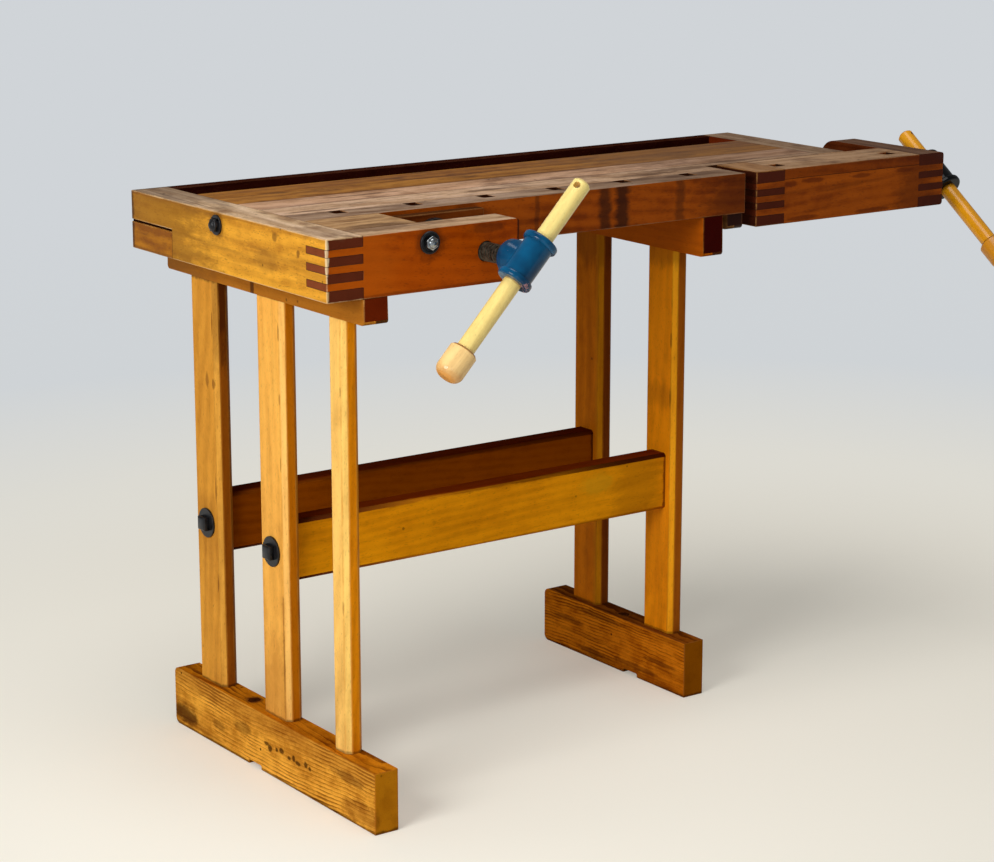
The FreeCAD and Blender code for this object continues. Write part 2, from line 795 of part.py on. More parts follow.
def make_bearer(name, start, front, leg_x, legs, under_arm):
    """A bearer under the top, mortised for the legs below and dowelled to the slab above."""
    end = start + size.bearer_width
    bearer = board(name, (start, front, bearer_bottom), (end, size.bench_depth, slab_bottom), "X")
    bearer.dress("Fillet", size.bearer_rounding,
                 lambda edge: straight(edge, X) and at_place(edge, "Z", zero))
    if under_arm:
        bearer.cut((start, front, end_bottom), (end, arm_back, slab_bottom), "X")
    socket = bearer_bottom + size.tenon_depth + size.tenon_slack
    cut_mortises(bearer, legs, leg_x, bearer_bottom, socket)
    for x, y in top_dowel_centres(start):
        bearer.bore((x, y, top_dowel_bottom), top_dowel_radius, slab_bottom, "Z")


def make_trestles():
    for name, front, width in LEFT_LEGS:
        make_leg(name, left_leg_x, front, width, name != "left_front_leg")
    for name, front, width in RIGHT_LEGS:
        make_leg(name, right_leg_x, front, width, True)
    make_foot("left_foot", left_leg_x, size.left_foot_front, size.left_chip_place, LEFT_LEGS)
    make_foot("right_foot", right_leg_x, size.right_foot_front, size.right_chip_place, RIGHT_LEGS)
    make_bearer("left_bearer", left_bearer_x, zero, left_leg_x, LEFT_LEGS, True)
    make_bearer("right_bearer", right_bearer_x, beam_front, right_leg_x, RIGHT_LEGS, False)


def rail_rows():
    """The rails by name, with the centre line of the leg pair that each one joins."""
    yield "front_rail", size.front_leg_front + size.leg_width / 2
    yield "back_rail", size.back_leg_front + size.leg_width / 2


rail_start = left_leg_x + size.leg_thickness
rail_end = right_leg_x


def make_rails():
    """Two rails between the trestles, each drawn up by a bolt and a cross nut at both ends."""
    for name, middle in rail_rows():
        half = size.rail_thickness / 2
        low = (rail_start, middle - half, size.rail_bottom)
        high = (rail_end, middle + half, size.rail_bottom + size.rail_height)
        rail = board(name, low, high, "X")
        rail.dress("Fillet", size.rail_rounding, lambda edge: straight(edge, X))
        reach = size.rail_bolt_reach
        rail.bore((rail_start, middle, rail_middle), bolt_hole_radius, rail_start + reach, "X")
        rail.bore((rail_end - reach, middle, rail_middle), bolt_hole_radius, rail_end, "X")
        for x in rail_nut_places():
            low = rail_middle - size.cross_nut_reach
            rail.bore((x, middle, size.rail_bottom), cross_nut_hole_radius,
                      rail_middle + size.cross_nut_reach, "Z")


def rail_nut_places():
    back = size.rail_bolt_reach - size.bolt_nut_past
    yield rail_start + back
    yield rail_end - back


def make_rail_bolts():
    reach = size.leg_thickness + size.rail_bolt_reach
    for side, face_x, way in (("left", left_leg_x, "+X"),
                              ("right", right_leg_x + size.leg_thickness, "-X")):
        faces = [(face_x, middle, rail_middle) for _, middle in rail_rows()]
        group(f"{side}_rail_bolts", [bolt(face, way, reach) for face in faces])
        group(f"{side}_rail_washers", [washer(face, way, size.bolt_washer_radius) for face in faces])
    nuts = []
    for _, middle in rail_rows():
        for x, way in zip(rail_nut_places(), ("+X", "-X")):
            low = rail_middle - size.cross_nut_reach
            high = rail_middle + size.cross_nut_reach
            nuts.append(cross_nut((x, middle, rail_middle), low, high, way))
    group("rail_cross_nuts", nuts)


# --------------------------------------------------------------------------------------------
# Tee hubs, handles and screws
# --------------------------------------------------------------------------------------------

def make_tee(name, hub, turn):
    """A pipe-fitting tee: the handle slides through its run, its branch is on the screw."""
    tee = Piece(name, hub, turn)
    half = size.tee_run_length / 2
    band = size.tee_band_width
    reach = size.tee_branch_length
    turned(tee, [(zero, -half), (size.tee_band_radius, -half), (size.tee_band_radius, band - half),
                 (size.tee_body_radius, band - half), (size.tee_body_radius, half - band),
                 (size.tee_band_radius, half - band), (size.tee_band_radius, half), (zero, half)])
    collar = reach - size.tee_branch_band_width
    turned(tee, [(zero, zero), (size.tee_branch_root_radius, zero), (size.tee_band_radius, collar),
                 (size.tee_band_radius, reach), (zero, reach)], "H_Axis")
    tee.dress("Fillet", size.tee_band_rounding, is_band_rim)
    tee.dress("Fillet", size.tee_junction_fillet, is_saddle)
    run = tee.sketch("Z", -half)
    circle(run, zero, zero, tee_bore_radius)
    tee.pocket(run, "Z", size.tee_run_length)
    branch = tee.sketch("X", zero)
    circle(branch, zero, zero, screw_radius)
    tee.pocket(branch, "X", reach)
    return tee


def is_band_rim(edge):
    """The outer rims of a tee's three bands, without the blunt edge where its branch widens."""
    is_round = isinstance(edge.Curve, Part.Circle)
    if not is_round or abs(edge.Curve.Radius - size.tee_band_radius.value) > NEAR:
        return False
    out = edge.Curve.Center.x
    return out < NEAR or out > size.tee_branch_length.value - NEAR


def is_saddle(edge):
    """The curve where a tee's branch leaves its run, the only edge that is no circle or line."""
    return not isinstance(edge.Curve, (Part.Circle, Part.Line))


def make_handle(name, hub, turn, short_end, knob_start):
    """A dowel handle with an eased free end and a hole across it, and its turned knob."""
    long_end = knob_start + size.knob_socket_depth
    handle = Piece(name, hub, turn)
    turned(handle, [(zero, -long_end), (handle_radius, -long_end), (handle_radius, short_end),
                    (zero, short_end)])
    handle.dress("Chamfer", size.handle_end_chamfer, lambda edge: rim(edge, handle_radius, short_end))
    hole = handle.sketch("X", -handle_radius)
    circle(hole, zero, short_end - size.cord_hole_inset, size.cord_hole_diameter / 2)
    handle.pocket(hole, "X", size.handle_diameter)

    knob = Piece(f"{name}_knob", hub, turn)
    top = -knob_start
    neck = top - size.knob_neck_length
    end = top - size.knob_length
    turned(knob, [(zero, end), (size.knob_radius, end), (size.knob_radius, neck),
                  (size.knob_neck_radius, top), (handle_radius, top), (handle_radius, -long_end),
                  (zero, -long_end)])
    knob.dress("Fillet", size.knob_rounding, lambda edge: rim(edge, size.knob_radius, end))


def make_front_screw():
    """The shoulder vise's screw, from inside its tee to the pivot that carries the chop."""
    hub = (front_screw_x, front_hub_y, front_screw_height)
    screw = Piece("front_vise_screw", hub, TURNS["+Y"])
    shoulder = boss_front - size.pivot_end_gap - front_hub_y
    tip = chop_front - size.pivot_end_gap - front_hub_y
    pin = pivot_pin_y - front_hub_y
    half = size.pivot_pin_radius + size.pivot_end_gap
    waist = size.pivot_radius - size.pivot_groove_depth
    turned(screw, [(zero, screw_start), (screw_radius, screw_start), (screw_radius, shoulder),
                   (size.pivot_radius, shoulder), (size.pivot_radius, pin - half), (waist, pin - half),
                   (waist, pin + half), (size.pivot_radius, pin + half), (size.pivot_radius, tip),
                   (zero, tip)])


def make_shoulder_vise():
    """The nut in the arm, the screw with its tee and handle, the swivel plate and the chop."""
    hub = (front_screw_x, front_hub_y, front_screw_height)
    lean = f"rotationy(90 - {size.front_handle_tilt.text})"
    make_front_screw()
    make_tee("front_vise_tee", hub, f"{lean} * rotationz(90)")
    make_handle("front_vise_handle", hub, f"{lean} * rotationz({size.front_handle_roll.text})",
                size.front_handle_short_end, size.front_handle_long_end)

    nut_front = arm_back - size.nut_flange_thickness - size.nut_barrel_length
    nut = Piece("front_vise_nut", (hub[0], nut_front, hub[2]), TURNS["+Y"])
    seat = size.nut_barrel_length
    back = seat + size.nut_flange_thickness
    turned(nut, [(nut_bore_radius, zero), (size.nut_barrel_radius, zero), (size.nut_barrel_radius, seat),
                 (size.nut_flange_radius, seat), (size.nut_flange_radius, back), (nut_bore_radius, back)])

    swivel = Piece("front_vise_swivel", (hub[0], boss_front, hub[2]), TURNS["+Y"])
    bore = size.pivot_radius + size.pivot_slack
    boss = size.swivel_boss_length
    back = boss + size.swivel_thickness
    turned(swivel, [(bore, zero), (size.swivel_boss_radius, zero), (size.swivel_boss_radius, boss),
                    (size.swivel_radius, boss), (size.swivel_radius, back), (bore, back)])
    pin_hole = swivel.sketch("Y", -size.swivel_boss_radius)
    circle(pin_hole, zero, boss / 2, size.pivot_pin_radius)
    swivel.pocket(pin_hole, "Y", size.swivel_boss_radius)

    waist = size.pivot_radius - size.pivot_groove_depth
    pin_low = hub[2] + waist + size.pivot_end_gap
    pin_reach = size.swivel_boss_radius - waist - size.pivot_end_gap
    group("front_vise_swivel_pin", [rod(size.pivot_pin_radius, pin_reach, (hub[0], pivot_pin_y, pin_low))])

    chop_top = worktop - size.chop_drop
    board("front_vise_chop", (chop_start, chop_front, chop_top - size.chop_height),
          (chop_start + size.chop_length, chop_back, chop_top))


# --------------------------------------------------------------------------------------------
# Tail vise
# --------------------------------------------------------------------------------------------

def board_finger_bands():
    """The bands, from the top down, of the tail vise front board's fingers."""
    for n in range(int(size.finger_count.value)):
        top = worktop - size.tail_finger_top - size.tail_finger * (2 * n)
        yield top - size.tail_finger, top


def block_finger_bands():
    """The bands between them, which the jaw block and the end block fill."""
    top = tail_top_bottom
    for low, high in board_finger_bands():
        yield high, top
        top = low
    yield end_bottom, top


def cut_board_fingers(block, start, end):
    for low, high in board_finger_bands():
        block.cut((start, beam_front, low), (end, tail_front_back, high), "X")


def make_tail_jaw():
    """The moving jaw, finger-jointed to the front board and grooved for the runner."""
    jaw = board("tail_vise_jaw_block", (tail_start, beam_front, end_bottom),
                (tail_jaw_end, tail_back, worktop))
    cut_board_fingers(jaw, tail_start, tail_jaw_end)
    slack = size.runner_slack
    depth = size.runner_reach - size.tail_running_gap + slack
    jaw.cut((tail_start, tail_back - depth, slab_bottom - size.runner_height - slack),
            (tail_jaw_end, tail_back, slab_bottom + slack), "X")


def make_tail_end_block():
    """The end block, which carries the screw's collar and the guide bar."""
    block = board("tail_vise_end_block", (end_block_start, beam_front, end_bottom),
                  (tail_end, beam_front + size.tail_end_width, worktop), "X")
    block.dress("Fillet", size.tail_end_rounding,
                lambda edge: straight(edge, X) and at_place(edge, "Y", size.tail_end_width)
                and at_place(edge, "Z", size.end_height))
    block.dress("Fillet", size.tail_corner_rounding,
                lambda edge: straight(edge, Y) and at_place(edge, "X", size.tail_end_length))
    cut_board_fingers(block, end_block_start, tail_end)
    block.bore((end_block_start, tail_screw_y, tail_screw_height), passage_radius, tail_end, "X")
    half = size.guide_bar_width / 2
    block.cut((end_block_start, guide_y - half, guide_top - size.guide_bar_height),
              (end_block_start + size.guide_bar_tenon, guide_y + half, guide_top), "X")


def make_tail_front_board():
    """The front board of the tail vise, fingered at both ends."""
    piece = board("tail_vise_front_board", (tail_start, beam_front, end_bottom),
                  (tail_end, tail_front_back, tail_top_bottom))
    for low, high in block_finger_bands():
        for start, end in ((tail_start, tail_jaw_end), (end_block_start, tail_end)):
            piece.cut((start, beam_front, low), (end, tail_front_back, high), "Y")
    cut_tail_dog_holes(piece, end_bottom, tail_top_bottom)


def cut_tail_dog_holes(piece, low, high):
    half = size.dog_hole_length / 2
    for middle in (tail_start + size.tail_dog_from_jaw, end_block_start - size.tail_dog_from_block):
        piece.cut((middle - half, beam_back - size.dog_hole_depth, low), (middle + half, beam_back, high))


def make_tail_screw():
    """The tail screw, turned from its tee, with a groove for the collar."""
    hub = (tail_hub_x, tail_screw_y, tail_screw_height)
    screw = Piece("tail_vise_screw", hub, TURNS["-X"])
    face = tail_hub_x - tail_end
    slack = size.garter_slack
    outer = face - size.garter_thickness - slack
    inner = face + slack
    waist = size.garter_groove_radius
    tip = tail_hub_x - tail_jaw_end - size.tail_screw_clear
    turned(screw, [(zero, screw_start), (screw_radius, screw_start), (screw_radius, outer),
                   (waist, outer), (waist, inner), (screw_radius, inner), (screw_radius, tip), (zero, tip)])


def make_tail_garter():
    """The collar: a plate slotted from below that drops over the screw's groove."""
    garter = Piece("tail_vise_garter", (tail_end, tail_screw_y, tail_screw_height), TURNS["+X"])
    thickness = size.garter_thickness
    disc = garter.sketch("Z")
    circle(disc, zero, zero, size.garter_radius)
    garter.pad(disc, "Z", thickness)
    throat = size.garter_groove_radius + size.garter_slack
    hole = garter.sketch("Z")
    circle(hole, zero, zero, throat)
    garter.pocket(hole, "Z", thickness)
    slot = garter.sketch("Z")
    polygon(slot, [(zero, -throat), (size.garter_radius, -throat), (size.garter_radius, throat),
                   (zero, throat)])
    garter.pocket(slot, "Z", thickness)


def make_tail_nut():
    """The fixed nut: an iron barrel on a plate, screwed to the right cap's front end."""
    middle = slab_end + size.cap_thickness / 2
    start = middle - size.tail_nut_length / 2
    end = middle + size.tail_nut_length / 2
    nut = Piece("tail_vise_nut", (start, tail_screw_y, tail_screw_height))
    barrel = nut.sketch("X")
    circle(barrel, zero, zero, size.tail_nut_radius)
    nut.pad(barrel, "X", size.tail_nut_length)
    half = size.tail_nut_plate_height / 2
    nut.add((start, notch_back - size.tail_nut_plate, tail_screw_height - half),
            (end, notch_back, tail_screw_height + half), "X")
    nut.bore((start, tail_screw_y, tail_screw_height), nut_bore_radius, end, "X")


def make_tail_vise():
    hub = (tail_hub_x, tail_screw_y, tail_screw_height)
    lean = f"rotationx({size.tail_handle_tilt.text} - 90)"
    make_tail_jaw()
    make_tail_end_block()
    make_tail_front_board()
    top = board("tail_vise_top_board", (tail_jaw_end, beam_front, tail_top_bottom),
                (end_block_start, tail_back, worktop))
    cut_tail_dog_holes(top, tail_top_bottom, worktop)
    half = size.guide_bar_width / 2
    board("tail_vise_guide_bar", (guide_start, guide_y - half, guide_top - size.guide_bar_height),
          (end_block_start + size.guide_bar_tenon, guide_y + half, guide_top))
    runner_front = notch_back - size.runner_reach
    board("tail_vise_runner",
          (beam_end + size.runner_clear, runner_front, slab_bottom - size.runner_height),
          (slab_end - size.runner_clear, runner_front + size.runner_width, slab_bottom))
    make_tail_nut()
    make_tail_screw()
    make_tail_garter()
    make_tee("tail_vise_tee", hub, f"{lean} * rotationz(180)")
    make_handle("tail_vise_handle", hub, f"{lean} * rotationz({size.tail_handle_roll.text})",
                size.tail_handle_short_end, size.tail_handle_long_end)


# --------------------------------------------------------------------------------------------
# Build, check and write
# --------------------------------------------------------------------------------------------

def check():
    """Stop if any object failed or any piece is not a sound solid."""
    for item in doc.Objects:
        if "Invalid" in item.State or "Error" in item.State:
            raise RuntimeError(f"{item.Label} failed: {item.State}")
    for piece in pieces:
        if piece.Shape.isNull() or not piece.Shape.isValid() or piece.Shape.Volume <= 0:
            raise RuntimeError(f"{piece.Label} is not a sound solid")


def write():
    os.makedirs(OUT_FOLDER, exist_ok=True)
    for piece in pieces:
        piece.Shape.exportStep(os.path.join(OUT_FOLDER, f"{piece.Label}.step"))


make_left_end_cap()
make_right_end_cap()
make_cap_filler("left_cap_filler", zero)
make_cap_filler("right_cap_filler", slab_end)
make_vise_arm()
make_arm_spacer()
make_front_beam()
make_main_slab()
make_tray()
make_fixed_jaw()
make_top_bolts()
make_top_dowels()
make_trestles()
make_rails()
make_rail_bolts()
make_shoulder_vise()
make_tail_vise()
doc.recompute()
check()
write()
print(len(pieces), "pieces written")
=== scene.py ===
# %% [markdown]
# # Dressing a woodworker's bench
# The bench comes in as a fixed frame: one plain solid for each board, bolt and screw of the real
# bench. Here every board gets eased arrises and varnished wood, every fitting its metal or enamel,
# and both vise screws their threads. Lengths are in metres, and each piece rides on the body of
# the bench that carries it, so that it moves with its vise.

# %% Load the frame
import json
import math
from functools import partial

import bpy
from mathutils import Matrix, Vector
from mathutils.bvhtree import BVHTree

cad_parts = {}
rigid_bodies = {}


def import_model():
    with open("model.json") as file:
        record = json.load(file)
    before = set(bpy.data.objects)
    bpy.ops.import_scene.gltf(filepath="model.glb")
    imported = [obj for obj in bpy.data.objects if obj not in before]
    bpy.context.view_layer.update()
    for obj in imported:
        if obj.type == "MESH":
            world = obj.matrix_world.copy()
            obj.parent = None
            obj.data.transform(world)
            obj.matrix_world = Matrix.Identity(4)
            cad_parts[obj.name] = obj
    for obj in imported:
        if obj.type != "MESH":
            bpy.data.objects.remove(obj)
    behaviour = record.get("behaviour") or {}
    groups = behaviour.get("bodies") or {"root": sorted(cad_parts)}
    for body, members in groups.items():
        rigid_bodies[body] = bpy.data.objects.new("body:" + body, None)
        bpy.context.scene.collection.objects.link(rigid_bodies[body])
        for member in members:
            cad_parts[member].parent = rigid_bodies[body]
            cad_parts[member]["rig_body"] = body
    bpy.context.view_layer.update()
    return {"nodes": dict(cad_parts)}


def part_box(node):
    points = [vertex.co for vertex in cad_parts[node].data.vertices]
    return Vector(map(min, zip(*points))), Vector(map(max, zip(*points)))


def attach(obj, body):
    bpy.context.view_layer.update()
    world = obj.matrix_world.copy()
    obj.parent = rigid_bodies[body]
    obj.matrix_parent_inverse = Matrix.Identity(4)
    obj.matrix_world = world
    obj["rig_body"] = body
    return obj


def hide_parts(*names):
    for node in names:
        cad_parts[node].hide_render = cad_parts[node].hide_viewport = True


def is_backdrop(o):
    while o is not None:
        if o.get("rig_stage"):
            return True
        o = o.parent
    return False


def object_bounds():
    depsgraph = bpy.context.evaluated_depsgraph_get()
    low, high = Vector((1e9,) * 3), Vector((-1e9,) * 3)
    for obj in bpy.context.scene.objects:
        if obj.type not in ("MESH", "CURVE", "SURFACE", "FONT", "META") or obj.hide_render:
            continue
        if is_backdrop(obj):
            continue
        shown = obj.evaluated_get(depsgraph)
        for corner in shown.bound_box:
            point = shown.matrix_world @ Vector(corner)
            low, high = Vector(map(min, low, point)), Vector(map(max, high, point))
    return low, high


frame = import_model()
nodes = frame["nodes"]
MM = 0.001
X, Y, Z = Vector((1, 0, 0)), Vector((0, 1, 0)), Vector((0, 0, 1))

# %% [markdown]
# ## The camera
# A long lens from the front left, a little above the worktop. It is placed first, because all
# later choices of detail are judged through it.

# %% Camera
CAMERA_PLACE = (-2.4287, -3.0726, 1.3872)
CAMERA_TURN = 35.43      # degrees from +Y towards +X
CAMERA_DIP = 13.70       # degrees below level
SENSOR = 36.0
LENS = 96.02

lens = bpy.data.cameras.new("bench_camera")
lens.sensor_width = SENSOR
lens.lens = LENS
lens.clip_end = 200
camera = bpy.data.objects.new("bench_camera", lens)
camera.location = CAMERA_PLACE
camera.rotation_euler = (math.radians(90 - CAMERA_DIP), 0, math.radians(-CAMERA_TURN))
bpy.context.scene.collection.objects.link(camera)
bpy.context.scene.camera = camera
print("camera at", tuple(camera.location))

# %% [markdown]
# ## Colours and nodes
# Colours are written as sRGB hex values, as a paint chart gives them, and turned to the linear
# values that shaders need. A gain makes a darker or lighter shade of the same paint. Every material
# is then built with one helper that adds a node, sets its options and fills its inputs, by name or
# in order, linking an input when it is given another node. A MapRange node's inputs are, in order,
# a value, the two ends between which it is read, and the two that they become: 0 and 1, if left out.

# %% Two helpers for materials


def colour(code, gain=(1, 1, 1)):
    """An sRGB hex code as linear RGBA, each channel times its gain."""
    parts = [int(code[i:i + 2], 16) / 255 for i in (1, 3, 5)]
    linear = [p / 12.92 if p <= 0.04045 else ((p + 0.055) / 1.055) ** 2.4 for p in parts]
    return (*(min(1.0, p * g) for p, g in zip(linear, gain)), 1.0)


def add_node(tree, kind, settings=(), inputs=()):
    """Add a node with its settings, or its operation alone, and fill its inputs by name or in order.
    An input takes a value, an output or a whole node, whose first output in use is then meant."""
    node = tree.nodes.new("ShaderNode" + kind)
    settings = {"operation": settings} if isinstance(settings, str) else dict(settings)
    for name, value in settings.items():
        if name == "stops":
            ramp = node.color_ramp
            while len(ramp.elements) < len(value):
                ramp.elements.new(0.5)
            for element, (position, paint) in zip(ramp.elements, value):
                element.position = position
                element.color = colour(paint) if isinstance(paint, str) else paint
        elif name == "interpolation":
            node.color_ramp.interpolation = value
        else:
            setattr(node, name, value)
    in_use = [socket for socket in node.inputs if socket.enabled]
    for key, value in inputs.items() if isinstance(inputs, dict) else enumerate(inputs):
        socket = in_use[key] if isinstance(key, int) else next(s for s in in_use if s.name == key)
        if isinstance(value, bpy.types.Node):
            value = next(output for output in value.outputs if output.enabled)
        if isinstance(value, bpy.types.NodeSocket):
            tree.links.new(value, socket)
        else:
            socket.default_value = value
    return node


def start(name):
    """A new material with no nodes yet, and the helper that adds a node to it."""
    material = bpy.data.materials.new(name)
    material.use_nodes = True
    material.node_tree.nodes.clear()
    return material, partial(add_node, material.node_tree)


def finish(add, paint, gloss, height, strength, distance, others):
    """End a material with a surface of a colour and a roughness, raised by a height pattern."""
    bump = add("Bump", inputs={"Height": height, "Strength": strength, "Distance": distance})
    shader = add("BsdfPrincipled", inputs={"Base Color": paint, "Roughness": gloss, "Normal": bump, **others})
    add("OutputMaterial", inputs={"Surface": shader})


print("helpers for materials are ready")

# %% [markdown]
# ## What varnished wood is made of
# A board is cut from a round trunk, so its growth rings are drawn as rings about a pith line that
# runs along the grain a little outside the board. One solid pattern is cut by all six faces, so
# the sides show long figure and the ends show arcs, as in real timber. Over the rings lie cloudy
# patches where the varnish has darkened, small mottling, long fibres and short flecks. Each is a
# noise that is stretched along the grain, and the table gives how often it changes in a metre
# along and across it.

# %% Noises and timbers
NOISES = {
    # name: (changes per metre along the grain, and across it, detail, roughness)
    "drift": (1.6, 8, 2, 0.5),          # bends the rings slowly, over more than half a metre
    "clouds": (3.5, 13, 3, 0.55),       # patches of darker varnish, about 75 by 280 mm
    "mottle": (34, 52, 4, 0.65),        # blotches of 20 to 30 mm
    "streaks": (2.6, 46, 4, 0.6),       # dark lines of dense wood, 20 mm apart and long
    "fibres": (10, 330, 3, 0.6),        # fine lines 3 mm apart, coarser than real to show
    "flecks": (150, 620, 1, 0.5),       # the dashes of beech, 6 by 1.6 mm
    "grime": (14, 30, 5, 0.62),         # dirt of 30 to 70 mm on worn tops
    "cracks": (4, 210, 4, 0.62),        # open pores and checks 5 mm apart, a hand long
    "rub": (22, 70, 5, 0.7),            # where arrises have lost their varnish
}
TIMBERS = {
    # beech under old varnish
    "beech": {
        "mix": {"clouds": 1.7, "mottle": 1.25, "fibres": 0.45},
        "ring_mm": 14, "ring": 0.34, "profile": "SIN", "bend": 0.05, "streaks": 0.4, "late": 0.0,
        "flecks": 0.35, "rough": (0.27, 0.45), "sheen": 0.05, "dents": 0.8,
    },
    # the legs and rails were planed from straighter, calmer stock
    "plain_beech": {
        "mix": {"clouds": 0.95, "mottle": 0.55, "fibres": 0.3},
        "ring_mm": 11, "ring": 0.16, "profile": "SIN", "bend": 0.04, "streaks": 0.15, "late": 0.0,
        "flecks": 0.2, "rough": (0.3, 0.48), "sheen": 0.015, "dents": 0.6,
    },
    # softwood feet with hard late-wood lines
    "pine": {
        "mix": {"clouds": 2.0, "mottle": 1.6, "fibres": 0.8},
        "ring_mm": 4.4, "ring": 0.25, "profile": "SAW", "bend": 0.038, "streaks": 0.6, "late": 0.72,
        "flecks": 0.25, "rough": (0.38, 0.6), "sheen": 0.03, "dents": 0.9,
    },
    # turned maple handles under lacquer
    "maple": {
        "mix": {"clouds": 0.7, "mottle": 0.35, "fibres": 0.3},
        "ring_mm": 9, "ring": 0.1, "profile": "SIN", "bend": 0.03, "streaks": 0.1, "late": 0.0,
        "flecks": 0.12, "rough": (0.2, 0.32), "sheen": 0.4, "dents": 0.1,
    },
}
DARK_GAIN = (0.60, 0.50, 0.40)           # varnish that has darkened turns redder too
LIGHT_GAIN = (1.20, 1.26, 1.42)
STREAK_GAIN = (0.26, 0.17, 0.10)
RINGS_PER_METRE = 20 / (2 * math.pi)     # how many rings the wave texture draws at scale 1
PITH_BESIDE, PITH_BELOW = 0.03, 0.075    # how far from a board's middle its pith lies
PITH_TILT = 0.05                         # a trunk tapers, so rings run out of a board at a slant
FACE_WAYS = {"left": -X, "front": -Y, "chamfer": (-X - Y).normalized(),
             "top": Z, "upper": Z}       # a top is scrubbed, an upper face isn't
FACE_TURN, CHAMFER_TURN = (0.6, 0.85), (0.93, 0.97)     # how squarely a face looks its way
print("timbers:", ", ".join(TIMBERS))

# %% [markdown]
# ## One varnished board
# Each face of a board may take its own colour for each way that it looks. Partly that is sun, hands and dirt,
# and partly painted light and shade: faces turned towards the key lamp on the left are painted lighter, faces
# turned from it darker, and a leg's chamfer lightest, as a painted highlight. The same pattern shades them
# all. Then come the things that lie on the varnish: dirt on the top, flecks and dark lines, stains that run
# across, some of them painted shade where parts meet, round spots and knots, dents, bare wood on the arrises
# and grime in the joints. Each is a mask with a colour, and one loop lays them over each other in order.
# Wear, joint and inside faces are read from attributes that the modelling step writes on the mesh, and inside
# faces are painted nearly black as shade.

# %% Wood material
# the first colour darkens dents and joints, and in the stains where legs, feet and floor meet it is painted
# shade as well as grime
GRIME_AND_SHADE, OLD_DIRT, FLECK, UNLIT = "#2a1208", "#4a2a16", "#4a220a", "#180a05"
KNOT = [(0.0, "#1c0c04"), (0.30, "#54280c"), (0.45, "#2e1406"), (0.60, "#8a4a16"), (0.85, "#4a220a")]
PATCHES = 1.9               # how strongly late wood comes and goes in patches
RAGGED = 1.6                # how far noise pushes a stain's edge, in half widths
STAIN_CORE = 0.3            # the share of a stain that has its full strength
SPOT_NOISE, SPOT_EDGE = 1.4, (1.78, 1.36)     # how far noise pushes a spot's edge, and where it ends
KNOT_SPAN = (0.7, 1.8)      # where a knot's rings begin and end
DENTS_PER_METRE = 26.0
DENT_DEPTH, FLECK_DEPTH = -2.0, -0.6
TOP_ROUGHER = 0.18          # a scrubbed top has lost its gloss
RELIEF, RELIEF_STRENGTH = 0.35 * MM, 0.3


